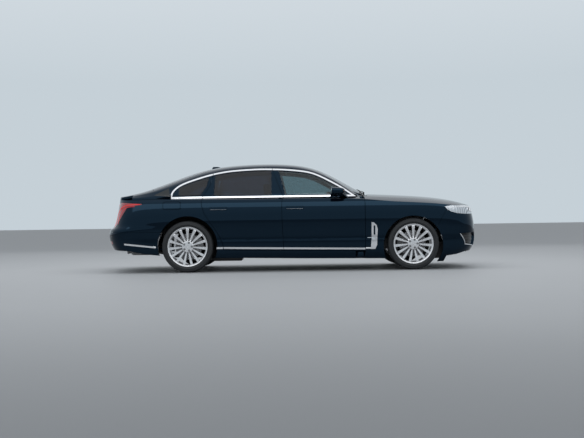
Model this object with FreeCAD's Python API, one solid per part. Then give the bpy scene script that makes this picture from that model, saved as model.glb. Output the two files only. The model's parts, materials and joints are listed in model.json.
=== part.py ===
import FreeCAD, Part
import functools
import math
import os
from FreeCAD import Matrix, Placement, Rotation, Vector

# Driving dimensions, in mm. X runs to the nose, Y to the left side, Z up from the ground at mid length.
length = 5137.0
width = 1904.0
height = 1493.0
wheelbase = 3060.0
front_overhang = 925.0
track = 1626.0
tyre_radius = 350.0
tyre_width = 245.0
rim_radius = 256.0
floor_height = 190.0
floor_thickness = 20.0

half_length = length / 2
half_width = width / 2
front_axle_x = half_length - front_overhang
rear_axle_x = front_axle_x - wheelbase
half_track = track / 2

# Panel build-up, measured inward from the painted surface.
panel_gap = 5.0
skin = 30.0
door_depth = 140.0
frame_depth = 36.0
ring_gap = 6.0
sill_depth = 205.0
pillar_depth = 84.0
glass_set = 4.0
glass_thickness = 5.0
seat_gap = 0.3
trim_height = 5.0
overrun = 20.0

# Plan outline of the lower body, nose to tail, as shares of half length and half width.
plan_shares = (
    (1.0, 0.0),
    (1.0, 0.3),
    (0.992, 0.62),
    (0.955, 0.85),
    (0.87, 0.95),
    (0.72, 0.985),
    (0.45, 1.0),
    (0.1, 1.0),
    (-0.25, 1.0),
    (-0.52, 1.0),
    (-0.74, 0.985),
    (-0.9, 0.935),
    (-0.965, 0.83),
    (-0.995, 0.58),
    (-1.0, 0.28),
    (-1.0, 0.0),
)
# Each level of the side: height, nose, tail and side, as shares of height, half length and half width.
level_shares = (
    (0.067, 0.922, 0.899, 0.884),
    (0.134, 0.965, 0.934, 0.947),
    (0.201, 0.996, 0.977, 0.985),
    (0.281, 1.0, 0.997, 0.985),
    (0.322, 1.0, 1.0, 0.983),
    (0.395, 0.998, 1.0, 0.994),
    (0.419, 0.997, 0.971, 0.995),
    (0.469, 0.992, 0.961, 1.0),
    (0.549, 0.982, 0.951, 0.994),
    (0.623, 0.965, 0.944, 0.975),
    (0.646, 0.957, 0.942, 0.956),
    (0.672, 0.945, 0.942, 0.924),
    (0.697, 0.934, 0.94, 0.905),
    (0.77, 0.907, 0.926, 0.905),
    (1.072, 0.844, 0.766, 0.905),
)
# Hood, belt and deck surface: station, centre height and shoulder height.
deck_shares = (
    (1.071, 0.522, 0.462),
    (0.997, 0.573, 0.519),
    (0.934, 0.61, 0.557),
    (0.857, 0.644, 0.593),
    (0.759, 0.668, 0.618),
    (0.642, 0.684, 0.633),
    (0.526, 0.695, 0.644),
    (0.428, 0.703, 0.658),
    (0.311, 0.71, 0.67),
    (0.078, 0.713, 0.672),
    (-0.234, 0.713, 0.672),
    (-0.467, 0.713, 0.674),
    (-0.623, 0.71, 0.675),
    (-0.759, 0.703, 0.67),
    (-0.876, 0.697, 0.66),
    (-0.954, 0.69, 0.648),
    (-1.071, 0.676, 0.633),
)
deck_half_shares = (0.0, 0.35, 0.66, 0.89, 1.06)
deck_drop_shares = (0.0, 0.06, 0.42, 1.0, 1.9)
# Cabin surface, windshield foot to deck end: ridge x, y, z, then centre line x, z, then belt y.
cabin_shares = (
    (0.393, 0.861, 0.589, 0.522, 0.589, 0.872),
    (0.35, 0.846, 0.67, 0.448, 0.672, 0.884),
    (0.273, 0.809, 0.782, 0.352, 0.759, 0.893),
    (0.195, 0.765, 0.861, 0.259, 0.852, 0.895),
    (0.117, 0.725, 0.915, 0.156, 0.943, 0.895),
    (0.019, 0.695, 0.946, 0.037, 0.99, 0.895),
    (-0.117, 0.683, 0.954, -0.117, 1.002, 0.895),
    (-0.253, 0.683, 0.947, -0.253, 0.997, 0.895),
    (-0.37, 0.693, 0.93, -0.382, 0.981, 0.893),
    (-0.487, 0.714, 0.883, -0.506, 0.94, 0.889),
    (-0.603, 0.735, 0.809, -0.623, 0.871, 0.874),
    (-0.72, 0.748, 0.742, -0.74, 0.794, 0.846),
    (-0.837, 0.741, 0.703, -0.857, 0.726, 0.811),
    (-0.966, 0.714, 0.676, -0.966, 0.698, 0.777),
)
cabin_foot_share = 0.589
cabin_belt_share = 0.677

# Side view outlines as shares of half length and height.
arch_shares = (
    (0.344, 0.673),
    (0.311, 0.714),
    (0.258, 0.775),
    (0.204, 0.827),
    (0.151, 0.874),
    (0.097, 0.908),
    (0.044, 0.924),
    (-0.01, 0.934),
    (-0.063, 0.94),
    (-0.117, 0.943),
    (-0.17, 0.944),
    (-0.224, 0.941),
    (-0.277, 0.936),
    (-0.331, 0.928),
    (-0.384, 0.914),
    (-0.438, 0.894),
    (-0.491, 0.868),
    (-0.545, 0.838),
    (-0.59, 0.806),
    (-0.622, 0.768),
    (-0.64, 0.724),
    (-0.644, 0.673),
)
middle_shut_shares = ((-0.043, 0.12), (-0.043, 0.673), (-0.101, 0.943), (-0.107, 0.97))
rear_shut_shares = (
    (-0.362, 0.12),
    (-0.362, 0.219),
    (-0.367, 0.265),
    (-0.383, 0.328),
    (-0.42, 0.429),
    (-0.462, 0.539),
    (-0.475, 0.602),
    (-0.478, 0.638),
    (-0.473, 0.686),
    (-0.462, 0.713),
    (-0.435, 0.786),
    (-0.419, 0.885),
    (-0.414, 0.97),
)
# How far the skin reaches out at a height, as shares of height and half width.
reach_shares = ((0.12, 0.98), (0.63, 0.98), (0.673, 0.895), (0.943, 0.685), (0.97, 0.66))

door_front_x = 0.3866 * half_length
door_slant = 18.5
door_bottom_front = 266.0
door_bottom_rear = 300.0
belt_height = 1005.0
hinge_lead = 62.0
hinge_inset = 38.0
hinge_back = 25.0
hinge_heights = (430.0, 800.0)
hinge_pocket = 56.0
hinge_arm = 40.0
hinge_pin = 6.5
hinge_eye = 12.5
hinge_clearance = 0.1
arch_radius = 405.0
arch_front_drop = 24.0
arch_rear_lift = 8.0


def knots(count):
    spans = count - 3
    return list(range(spans + 1)), [4] + [1] * (spans - 1) + [4]


def net_face(rows):
    u_knots, u_mults = knots(len(rows))
    v_knots, v_mults = knots(len(rows[0]))
    surface = Part.BSplineSurface()
    surface.buildFromPolesMultsKnots(rows, u_mults, v_mults, u_knots, v_knots, False, False, 3, 3)
    return surface.toShape()


def inset_net(rows, inset):
    """Sinks a net that is seen from above by a thickness along its own normals."""
    sunk = []
    for i, row in enumerate(rows):
        before = rows[max(i - 1, 0)]
        after = rows[min(i + 1, len(rows) - 1)]
        line = []
        for j, pole in enumerate(row):
            along = row[min(j + 1, len(row) - 1)] - row[max(j - 1, 0)]
            normal = along.cross(after[j] - before[j])
            normal.normalize()
            if normal.z < 0:
                normal = normal * -1
            line.append(pole - normal * inset)
        sunk.append(line)
    return sunk


@functools.lru_cache(maxsize=None)
def ring_solid(inset):
    """Lower body between its plan outlines, sunk sideways by the inset."""
    halves = []
    for side in (-1, 1):
        rows = []
        for z_share, nose_share, tail_share, side_share in level_shares:
            poles = []
            for x_share, y_share in plan_shares:
                end_share = nose_share if x_share > 0 else tail_share
                reach = half_width * y_share * side_share
                poles.append(Vector(half_length * x_share * end_share, side * reach, height * z_share))
            moved = []
            for j, pole in enumerate(poles):
                along = poles[min(j + 1, len(poles) - 1)] - poles[max(j - 1, 0)]
                normal = Vector(along.y, -along.x, 0)
                normal.normalize()
                moved.append(pole - normal * inset * side)
            rows.append(moved)
        halves.append(net_face(rows))
    faces = list(halves)
    for z_share in (level_shares[0][0], level_shares[-1][0]):
        level = height * z_share
        rim = []
        for half in halves:
            for edge in half.Edges:
                if abs(
                    edge.BoundBox.ZMin - level
                ) < panel_gap and abs(edge.BoundBox.ZMax - level) < panel_gap:
                    rim.append(edge)
        faces.append(Part.Face(Part.Wire(Part.__sortEdges__(rim))))
    solid = Part.makeSolid(Part.makeShell(faces))
    if solid.Volume < 0:
        solid.reverse()
    return solid


@functools.lru_cache(maxsize=None)
def deck_solid(inset):
    """Everything below the hood, belt and deck surface."""
    rows = []
    for x_share, centre_share, shoulder_share in deck_shares:
        line = []
        for side in (-1, 1):
            half = []
            for y_share, drop_share in zip(deck_half_shares, deck_drop_shares):
                z_share = centre_share - (centre_share - shoulder_share) * drop_share
                half.append(Vector(half_length * x_share, side * half_width * y_share, height * z_share))
            line = half[::-1] if side < 0 else line + half[1:]
        rows.append(line)
    return net_face(inset_net(rows, inset)).extrude(Vector(0, 0, -height))


@functools.lru_cache(maxsize=None)
def cabin_solid(inset):
    """Everything below the windshield, roof and rear window surface."""
    rows = []
    for ridge_x, ridge_y, ridge_z, centre_x, centre_z, belt_y in cabin_shares:
        belt_z = min(cabin_belt_share, ridge_z)
        foot_z = min(cabin_foot_share, ridge_z)
        half = [
            (ridge_x, belt_y + 0.02, foot_z),
            (ridge_x, belt_y, belt_z),
            (ridge_x, belt_y + (ridge_y - belt_y) * 0.38, belt_z + (ridge_z - belt_z) * 0.42),
            (ridge_x, belt_y + (ridge_y - belt_y) * 0.78, belt_z + (ridge_z - belt_z) * 0.8),
            (ridge_x, ridge_y, ridge_z + (centre_z - ridge_z) * 0.1),
            (ridge_x + (centre_x - ridge_x) * 0.3, ridge_y * 0.84, ridge_z + (centre_z - ridge_z) * 0.62),
            (ridge_x + (centre_x - ridge_x) * 0.8, ridge_y * 0.48, ridge_z + (centre_z - ridge_z) * 0.96),
            (centre_x, 0.0, centre_z),
        ]
        line = []
        for side in (-1, 1):
            poles = [Vector(half_length * x, side * half_width * y, height * z) for x, y, z in half]
            line = poles if side < 0 else line + poles[::-1][1:]
        rows.append(line)
    return net_face(inset_net(rows, inset)).extrude(Vector(0, 0, -height / 3))


def share_points(shares, y=0.0):
    return [Vector(half_length * x, y, height * z) for x, z in shares]


def spline(points):
    curve = Part.BSplineCurve()
    curve.interpolate(points)
    return curve.toShape()


def polygon(points):
    return Part.makePolygon(list(points) + [points[0]])


def side_prism(points, near=0.0, far=-width):
    """Straight prism over a side view outline given as x, z pairs."""
    wire = polygon([Vector(x, near, z) for x, z in points])
    return Part.Face(wire).extrude(Vector(0, far - near, 0))


def plan_prism(points, low, high):
    """Prism over a plan outline given as x, y pairs."""
    wire = polygon([Vector(x, y, low) for x, y in points])
    return Part.Face(wire).extrude(Vector(0, 0, high - low))


def box(x0, x1, y0, y1, z0, z1):
    return Part.makeBox(
        abs(x1 - x0), abs(y1 - y0), abs(z1 - z0), Vector(min(x0, x1), min(y0, y1), min(z0, z1))
    )


def rod(radius, start, end):
    axis = end - start
    return Part.makeCylinder(radius, axis.Length, start, axis)


def mirrored(shape):
    return shape.mirror(Vector(0, 0, 0), Vector(0, 1, 0))


def both(shape):
    return [shape, mirrored(shape)]


def fused(shapes):
    return shapes[0].fuse(shapes[1:]) if len(shapes) > 1 else shapes[0]


def biggest(shape):
    return max(shape.Solids, key=lambda solid: solid.Volume)


@functools.lru_cache(maxsize=None)
def arch_prism(offset):
    """Window arch in side view, closed along the belt and moved out by the offset."""
    points = share_points(arch_shares)
    ends = (points[0] - points[1], points[-1] - points[-2])
    points = [points[0] + ends[0]] + points + [points[-1] + ends[1]]
    curve = Part.BSplineCurve()
    curve.interpolate(points)
    moved = []
    for point in points:
        tangent = curve.tangent(curve.parameter(point))[0]
        moved.append(point + Vector(tangent.z, 0, -tangent.x) * offset)
    foot = [Vector(moved[i].x, 0, height / 2) for i in (-1, 0)]
    lines = [
        Part.makeLine(a, b) for a, b in ((moved[-1], foot[0]), (foot[0], foot[1]), (foot[1], moved[0]))
    ]
    prism = Part.Face(Part.Wire([spline(moved)] + lines)).extrude(Vector(0, -width, 0))
    return prism.common(box(-length, length, -width, 0, height * arch_shares[0][1] - offset, height * 2))


def lerp(table, at):
    """Reads a table of rising pairs by straight lines between its rows."""
    if at <= table[0][0]:
        return table[0][1]
    for (x0, y0), (x1, y1) in zip(table, table[1:]):
        if at <= x1:
            return y0 + (y1 - y0) * (at - x0) / (x1 - x0)
    return table[-1][1]


def skin_reach(z):
    return half_width * lerp(reach_shares, z / height)


def level_reach(z):
    return half_width * lerp([(row[0], row[3]) for row in level_shares], z / height)


def slab(front, rear):
    """Slanted prism between two shut lines, which are true where they cross the skin."""
    lean = math.tan(math.radians(door_slant))
    points = [Vector(p.x + lean * skin_reach(p.z), 0, p.z) for p in front + rear[::-1]]
    return Part.Face(polygon(points)).extrude(Vector(-lean * width, -width, 0))


def shifted(points, dx):
    return [Vector(p.x + dx, p.y, p.z) for p in points]


def hinge_turn(axis_x, lead, low, high):
    """Room that the edge ahead of a hinge sweeps, at each height as wide as the skin there needs."""
    axis_y = hinge_inset - half_width
    levels = [z for z in (height * row[0] for row in level_shares) if low < z < high]
    rim = []
    for z in [low] + levels + [high]:
        out = level_reach(z) + axis_y
        rim.append(Vector(axis_x + math.hypot(lead, out), axis_y, z))
    profile = [Vector(axis_x, axis_y, low)] + rim + [Vector(axis_x, axis_y, high)]
    face = Part.Face(polygon(profile))
    return face.revolve(Vector(axis_x, axis_y, 0), Vector(0, 0, 1), 360)


# Volumes that every panel is cut from; the right half is modelled and mirrored.
right_half = box(-length, length, -width, 0, -height, 2 * height)
ring_outer = ring_solid(0).common(right_half)
deck_outer = deck_solid(0)
cabin_outer = cabin_solid(0).common(right_half)
lower_outer = ring_outer.common(deck_outer)

front_hinge_x = door_front_x - panel_gap / 2 - hinge_lead
middle_x = half_length * middle_shut_shares[0][0]
rear_hinge_x = middle_x - panel_gap / 2 - hinge_lead
hinge_y = hinge_inset - half_width
middle_line = share_points(middle_shut_shares)
rear_line = share_points(rear_shut_shares)
slant_gap = panel_gap / math.cos(math.radians(door_slant))
far_front = [Vector(half_length / 2, 0, p.z) for p in middle_line]
door_top_front = belt_height - panel_gap * 4
sail_x = half_length * arch_shares[0][0] + panel_gap * 2


def door_bottom(x, grow):
    slope = (door_bottom_front - door_bottom_rear) / (door_front_x - half_length * rear_shut_shares[0][0])
    return door_bottom_front + (x - door_front_x) * slope - grow


def door_mask(grow, top):
    """Side outline of both lower doors."""
    front = half_length / 2
    rear = -half_length / 2 - hinge_lead
    outline = [
        (front, door_bottom(front, grow)),
        (front, door_top_front + grow),
        (sail_x + grow, belt_height + grow),
        (sail_x + grow, top),
        (rear, top),
        (rear, door_bottom(rear, grow)),
    ]
    return side_prism(outline)


def door_slab(place, grow):
    if place == "front":
        return slab(far_front, shifted(middle_line, slant_gap / 2 - grow))
    return slab(
        shifted(middle_line, grow - slant_gap / 2), shifted(rear_line, slant_gap * 0.7 - grow * 1.4)
    )


ring_door = ring_solid(door_depth)
cabin_frame = cabin_solid(frame_depth)
lower_doors = lower_outer.cut(ring_door).common(door_mask(0, height * 0.75))
upper_doors = cabin_outer.cut(cabin_frame).common(arch_prism(0))
glass_margin = 34.0
glass_grip = 8.0


def door_blank(place):
    region = door_slab(place, 0)
    axis_x = front_hinge_x if place == "front" else rear_hinge_x
    lower = lower_doors.common(region)
    ahead = box(axis_x, length, -width, 0, 0, belt_height - 1.0)
    lip = lower.common(hinge_turn(axis_x, hinge_lead, door_bottom_front / 2, belt_height))
    lip = lip.common(box(axis_x, axis_x + hinge_lead, -width, hinge_y + hinge_eye * 1.6, 0, belt_height))
    lower = lower.cut(ahead).fuse(lip)
    blank = lower.fuse(upper_doors.common(region))
    return blank, axis_x


# Door glass, trim, handles and hinges.
glass_front_shares = ((0.3, 0.673), (0.285, 0.69), (-0.031, 0.69), (-0.0685, 0.916))
front_glass_x = (0.31 * half_length, (-0.031 * half_length, -0.0695 * half_length))
rear_glass_x = (-0.106 * half_length, (-0.413 * half_length, -0.405 * half_length))
strip_width = 22.0
belt_strip_top = belt_height + strip_width
sill_strip = 24.0
sill_strip_lift = 14.0
handle_length = 236.0
handle_height = 42.0
handle_z = 858.0
handle_groove = 2.5
swing_trim = 11.0
front_swing_x = 585.0
front_swing_z = (1056.0, 1196.0)
front_corner = (838.0, -742.0, 998.0)
rear_corner_low = (-146.0, -774.0, (996.0, 1026.0))
rear_corner_high = (-146.0, -813.0, (1026.0, 1094.0))
front_handle_x = 43.0
rear_handle_x = -994.0
mirror_z = 1080.0
mirror_reach = 996.0
mirror_points = 16
mirror_squareness = 0.7
mirror_rows = (
    (536.0, 86.0, 44.0, 1082.0), (575.0, 89.0, 48.0, 1080.0), (640.0, 84.0, 46.0, 1078.0),
    (694.0, 62.0, 35.0, 1076.0), (716.0, 30.0, 17.0, 1075.0)
)
mirror_foot_reach = 838.0
mirror_foot_inner = ((690.0, 972.0), (792.0, 972.0), (786.0, 998.0), (696.0, 998.0))
mirror_foot_outer = ((590.0, 14.0), (668.0, 14.0), (664.0, 36.0), (594.0, 36.0))


def glass_prism(place, grow):
    """Opening of a door window, between slanted ends and under the arch."""
    ends = front_glass_x if place == "front" else rear_glass_x
    front_x = ends[0] + grow
    rear_low = ends[1][0] - grow
    rear_high = ends[1][1] - grow
    top = height * arch_shares[9][1]
    outline = [
        (front_x, belt_height), (front_x, height), (rear_high, height), (rear_high, top),
        (rear_low, belt_height)
    ]
    return side_prism(outline).common(arch_prism(grow - glass_margin))


@functools.lru_cache(maxsize=None)
def glass_layer(outer, inner):
    return cabin_solid(outer).cut(cabin_solid(inner))


glass_shell = glass_layer(glass_set, glass_set + glass_thickness)
groove_shell = glass_layer(glass_set - seat_gap, glass_set + glass_thickness + seat_gap)
trim_shell_upper = cabin_solid(-trim_height).cut(cabin_solid(-seat_gap))
trim_shell_lower = ring_solid(-trim_height).cut(ring_solid(-seat_gap))


def mirror_section(x, half_y, half_z, centre_z):
    """Rounded outline of the mirror housing across the car."""
    points = []
    for i in range(mirror_points):
        angle = 2 * math.pi * i / mirror_points
        round_y = math.copysign(abs(math.cos(angle)) ** mirror_squareness, math.cos(angle))
        round_z = math.copysign(abs(math.sin(angle)) ** mirror_squareness, math.sin(angle))
        points.append(Vector(x, half_y * round_y - mirror_reach, centre_z + half_z * round_z))
    curve = Part.BSplineCurve()
    curve.interpolate(points, PeriodicFlag=True)
    return Part.Wire([curve.toShape()])


@functools.lru_cache(maxsize=None)
def mirror_shape():
    shell = Part.makeLoft([mirror_section(*row) for row in mirror_rows], True, False)
    low = mirror_z - mirror_rows[1][2]
    inner = [Vector(x, -mirror_foot_reach, z) for x, z in mirror_foot_inner]
    outer = [Vector(x, -mirror_reach, z + low) for x, z in mirror_foot_outer]
    foot = Part.makeLoft([polygon(inner), polygon(outer)], True, True)
    return shell.fuse(foot)


def cabin_reach(z):
    return half_width * lerp(((0.6, 0.895), (0.677, 0.89), (0.943, 0.685)), z / height)


def handle_prism(centre_x, grow):
    half = handle_length / 2 + grow
    rise = handle_height / 2 + grow
    body = box(centre_x - half, centre_x + half, -width, 0, handle_z - rise, handle_z + rise)
    edges = [e for e in body.Edges if abs(e.BoundBox.YLength) > half_width]
    return body.makeFillet(rise * 0.6, edges)


def swing_room(place):
    """Inner corners taken off a door, so that it clears the body ring as it opens."""
    if place == "rear":
        corners = []
        for x, y, (low, high) in (rear_corner_low, rear_corner_high):
            corners.append(box(x, length, y, 0, low, high))
        return corners
    x, y, z = front_corner
    low, high = front_swing_z
    frame = cabin_solid(frame_depth - swing_trim).common(box(front_swing_x, length, -width, 0, low, high))
    return [frame, box(x, length, y, 0, z, belt_height + skin * 2)]


def door(place):
    blank, axis_x = door_blank(place)
    tools = [glass_prism(place, 0)]
    tools.append(glass_prism(place, glass_grip + seat_gap).common(groove_shell))
    handle_x = front_handle_x if place == "front" else rear_handle_x
    groove = handle_prism(handle_x, handle_groove).cut(handle_prism(handle_x, 0))
    tools.append(groove.cut(ring_solid(handle_groove * 2)))
    for z in hinge_heights:
        tools.append(box(axis_x - hinge_back, axis_x + door_depth, hinge_y - hinge_eye - panel_gap, 0,
                         z - hinge_pocket / 2, z + hinge_pocket / 2))
    tools += swing_room(place)
    panel = biggest(blank.cut(tools))
    pins = []
    for z in hinge_heights:
        reach = Vector(0, 0, hinge_pocket / 2 + hinge_pin)
        middle = Vector(axis_x, hinge_y, z)
        pins.append(rod(hinge_pin, middle - reach, middle + reach))
    parts = [panel] + pins
    if place == "front":
        parts.append(mirror_shape())
    return fused(parts).removeSplitter()


def door_glass(place):
    return biggest(glass_prism(place, glass_grip).common(glass_shell))


def door_trim(place):
    region = door_slab(place, 0)
    loop = arch_prism(-1.0).cut(arch_prism(-strip_width))
    upper = trim_shell_upper.common(loop).common(region).common(right_half)
    if place == "front":
        upper = upper.cut(mirror_shape())
    strip = [(x, door_bottom(x, 0) + sill_strip_lift + lift) for x, lift in (
        (door_front_x, 0), (door_front_x, sill_strip),
        (-half_length / 2, sill_strip), (-half_length / 2, 0))]
    lower = trim_shell_lower.common(side_prism(strip)).common(region).common(right_half)
    axis_x = front_hinge_x if place == "front" else rear_hinge_x
    front_edge = axis_x + hinge_lead
    lower = lower.cut(box(front_edge, length, -width, 0, 0, height))
    return Part.Compound(upper.Solids + lower.Solids)


# Body side: sill, pillars, cant rail and quarter as one inner ring with its outer skin.
ring_flange = 46.0
front_opening_x = 858.0
pillar_front_x = -48.0
pillar_rear_x = -232.0
side_front_x = 1120.0
pillar_foot_x = 700.0
pillar_foot_y = 700.0
fender_lap = 40.0
sill_bottom_shares = ((0.44, 0.105), (0.04, 0.114), (-0.4, 0.13))
sill_top = 345.0
roof_seam_share = 0.6
header_x = 318.0
rear_header_x = -1120.0
lid_half = 652.0
lid_front_x = -1930.0
lamp_low = 606.0
bumper_split_x = -1700.0
quarter_set = 40.0
bumper_depth = 42.0
bumper_carrier_low = 430.0
fuel_door_x = (-1743.0, -1510.0)
fuel_door_z = (858.0, 959.0)
windshield_shares = (
    (0.41, 0.0), (0.406, 0.28), (0.386, 0.52), (0.32, 0.775), (0.112, 0.603), (0.122, 0.33), (0.126, 0.0)
)
rear_window_shares = (
    (-0.448, 0.0), (-0.45, 0.35), (-0.462, 0.6), (-0.71, 0.66), (-0.745, 0.4), (-0.75, 0.0)
)
screen_lip = 18.0


def plan_outline(shares, grow):
    """Symmetric closed plan outline from one half, moved out by the growth."""
    half = [Vector(half_length * x, -half_width * y, height * 0.5) for x, y in shares]
    other = [Vector(p.x, -p.y, p.z) for p in half[1:-1]][::-1]
    wire = polygon(half + other)
    return wire.makeOffset2D(grow) if grow else wire


def plan_block(shares, grow, low=0.5, high=1.1):
    wire = plan_outline(shares, grow)
    wire.translate(Vector(0, 0, height * (low - 0.5)))
    return Part.Face(wire).extrude(Vector(0, 0, height * (high - low)))


def door_pocket(place):
    """Room for a closed door with its gap, from outside to the inner ring."""
    region = door_slab(place, panel_gap)
    lower = door_mask(panel_gap, belt_height + skin).common(region).cut(ring_solid(door_depth + ring_gap))
    upper = arch_prism(panel_gap).common(region).cut(cabin_solid(frame_depth + ring_gap))
    return [lower, upper]


def door_opening(place):
    """Way through the inner ring behind a door."""
    if place == "front":
        low = [
            (front_opening_x, sill_top + 70), (front_opening_x - 30, belt_height),
            (pillar_front_x - 10, belt_height),
               (pillar_front_x, sill_top), (front_opening_x - 130, sill_top)]
        bounds = (half_length, pillar_front_x, pillar_front_x - 84)
    else:
        low = [
            (pillar_rear_x, sill_top), (pillar_rear_x, belt_height), (-1150.0, belt_height),
            (-1130.0, 860.0),
               (-1010.0, 640.0), (-900.0, 420.0), (-860.0, sill_top)]
        bounds = (pillar_rear_x - 36, -1150.0, -1010.0)
    upper_outline = [(bounds[0], belt_height - skin), (bounds[0] - (76 if place == "rear" else 0), height),
                     (bounds[2] - 40, height), (bounds[1], belt_height - skin)]
    upper = arch_prism(-ring_flange).fuse(
        side_prism(
            [
                (half_length * 0.32, belt_height - 5), (half_length * 0.32, belt_height + 60),
                (-half_length * 0.6, belt_height + 60), (-half_length * 0.6, belt_height - 5)
            ]
        )
    )
    return [side_prism(low), upper.common(side_prism(upper_outline))]


def wheel_cylinder(axle_x, radius, lift, depth):
    start = Vector(axle_x, -width, tyre_radius + lift)
    return rod(radius, start, Vector(axle_x, depth - half_width, tyre_radius + lift))


def bumper_block(rear, grow):
    if rear:
        outline = [
            (-length, lamp_low + grow), (bumper_split_x, lamp_low - 60 + grow), (bumper_split_x, -height),
            (-length, -height)
        ]
    else:
        outline = [
            (1960 - grow, -height), (1960 - grow, 560.0), (2104 - grow, 812 + grow), (2170, 776 + grow),
            (2252, 755 + grow),
                   (2350, 746 + grow), (length, 742 + grow), (length, -height)]
    return side_prism(outline)


def tail_lamp_block(grow):
    outline = [
        (-length, 968 + grow), (-2381, 964 + grow), (-2030 + grow * 2, 937 + grow),
        (-2034 + grow * 2, 931 - grow), (-2236 + grow, 902 - grow),
               (-2372 + grow, 700 - grow), (-2440, lamp_low + 4 - grow), (-length, lamp_low + 4 - grow)]
    return side_prism(outline)


def lid_block(grow):
    outline = [
        (rear_window_edge(grow), 0.0), (rear_window_edge(grow), lid_half * 0.6),
        (lid_front_x + 20 + grow * 1.5, lid_half + grow),
               (-length, lid_half - 20 + grow), (-length, 0.0)]
    shape = plan_prism([(x, -y) for x, y in outline], lamp_low + 8 - grow, height)
    return shape


def rear_window_edge(grow):
    return half_length * rear_window_shares[-1][0] - skin + grow


def side_shell():
    inboard = -half_width * 0.32
    lower = lower_outer.common(
        box(-length, side_front_x, -width, inboard, 0, height)
    ).cut(ring_solid(sill_depth))
    room = cabin_solid(pillar_depth).common(box(-length, pillar_foot_x, -width, 0, 0, height * 2))
    upper = cabin_outer.common(
        box(-half_length * 0.85, side_front_x, -width, inboard, height * 0.64, height * 2)
    ).cut(room)
    foot = box(pillar_foot_x + pillar_depth, length, -pillar_foot_y, 0, 0, height * 2)
    return lower.cut(foot), upper.cut(foot)


def sill_cut():
    points = [(half_length * x, height * z) for x, z in sill_bottom_shares]
    points = [(half_length, points[0][1] - skin)] + points + [(-half_length, height * 0.15)]
    return side_prism(points + [(-half_length, -height), (half_length, -height)])


def body_side():
    lower, upper = side_shell()
    tools = [sill_cut()]
    for place in ("front", "rear"):
        tools += door_pocket(place) + door_opening(place)
    tools.append(wheel_cylinder(rear_axle_x, arch_radius, arch_rear_lift, width))
    carrier = ring_solid(bumper_depth + seat_gap).common(
        box(-length, 0, -width, 0, bumper_carrier_low, height)
    )
    tools.append(bumper_block(True, panel_gap / 2).cut(carrier))
    tools.append(tail_lamp_block(panel_gap / 2))
    tools.append(lid_block(panel_gap))
    tools.append(hood_block(panel_gap).cut(deck_solid(hood_depth + panel_gap)))
    tools.append(side_prism([(door_front_x + panel_gap / 2, -1), (door_front_x + panel_gap / 2, height),
                             (length, height), (length, -1)]).cut(ring_solid(door_depth + ring_gap)))
    fender_room = box(
        door_front_x, length, -width, -pillar_foot_y - fender_lap + 1, 0, height
    ).cut(deck_solid(skin + seat_gap))
    tools.append(fender_room)
    front_turn = hinge_turn(front_hinge_x, hinge_lead + panel_gap, -1, belt_height)
    tools.append(front_turn)
    tools.append(plan_block(windshield_shares, -screen_lip))
    tools.append(plan_block(windshield_shares, panel_gap / 4).cut(cabin_solid(glass_thickness + seat_gap)))
    tools.append(plan_block(rear_window_shares, -screen_lip))
    tools.append(plan_block(rear_window_shares, panel_gap / 4).cut(cabin_solid(glass_thickness + seat_gap)))
    tools.append(quarter_prism(-screen_lip))
    tools.append(quarter_prism(panel_gap / 4).cut(cabin_solid(glass_thickness + seat_gap)))
    tools.append(roof_block(panel_gap / 4))
    arm_room = box(
        lid_pivot_x - 140, lid_pivot_x + 60, -lid_arm_y - 26, -lid_arm_y + 12, lid_pivot_z - 180, height
    )
    tools.append(arm_room.common(tail_volume(skin)))
    return lower.fuse(upper).cut(tools)


def roof_block(grow):
    seam = half_width * roof_seam_share + grow
    outline = [(header_x + 12 + grow, 0), (header_x + grow, -seam * 0.55), (header_x - 32 + grow, -seam),
               (rear_header_x - grow, -seam), (
                   rear_header_x - 26 - grow, -seam * 0.55
               ), (rear_header_x - 32 - grow, 0)]
    return plan_prism(outline, height * 0.8, height * 1.2)


rear_shut_pairs = [(half_length * x, height * z) for x, z in rear_shut_shares[:6:-1]]
quarter_front_set = 42.0


def quarter_prism(grow):
    rear = half_length * -0.6
    outline = [(x - quarter_front_set + grow, z) for x, z in rear_shut_pairs]
    outline += [(rear, height * rear_shut_shares[7][1]), (rear, height)]
    return side_prism(outline).common(arch_prism(-quarter_set + grow))


fuel_door_depth = 12.0
fuel_pin = 2.5
fuel_turning_radius = 10.0
fuel_pivot_x = fuel_door_x[1] - 3.5
fuel_pivot_low = Vector(fuel_pivot_x, -929.0, fuel_door_z[0] - 4)
fuel_pivot_high = Vector(fuel_pivot_x, -901.0, fuel_door_z[1] + 4)


def fuel_pocket():
    recess = fuel_prism(panel_gap).cut(ring_solid(fuel_door_depth * 2))
    axis = fuel_pivot_high - fuel_pivot_low
    turning = rod(fuel_turning_radius, fuel_pivot_low + axis * 0.06, fuel_pivot_high - axis * 0.06)
    return [recess, turning, rod(fuel_pin + bearing_clearance, fuel_pivot_low, fuel_pivot_high)]



def fuel_prism(grow):
    x0, x1 = fuel_door_x
    z0, z1 = fuel_door_z
    body = box(x0 - grow, x1 + grow, -width, 0, z0 - grow, z1 + grow)
    edges = [e for e in body.Edges if abs(e.BoundBox.YLength) > half_width]
    return body.makeFillet(28.0 + grow, edges)


lid_pivot_x = -1830.0
lid_pivot_z = 1110.0
lid_arm_y = 480.0
lid_arm_width = 12.0
lid_pin = 7.0
lid_eye = 14.0
bearing_clearance = 0.1


def hinge_arms(axis_x):
    """Body brackets whose eyes take the door pins."""
    arms = []
    inner = hinge_inset - half_width + door_depth
    for z in hinge_heights:
        low = z - hinge_arm / 2
        arm = box(axis_x - hinge_eye, axis_x + hinge_eye, hinge_y, inner, low, low + hinge_arm)
        arm = arm.fuse(Part.makeCylinder(hinge_eye, hinge_arm, Vector(axis_x, hinge_y, low)))
        arms.append(
            arm.cut(Part.makeCylinder(hinge_pin + hinge_clearance, hinge_arm, Vector(axis_x, hinge_y, low)))
        )
    return arms


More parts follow.
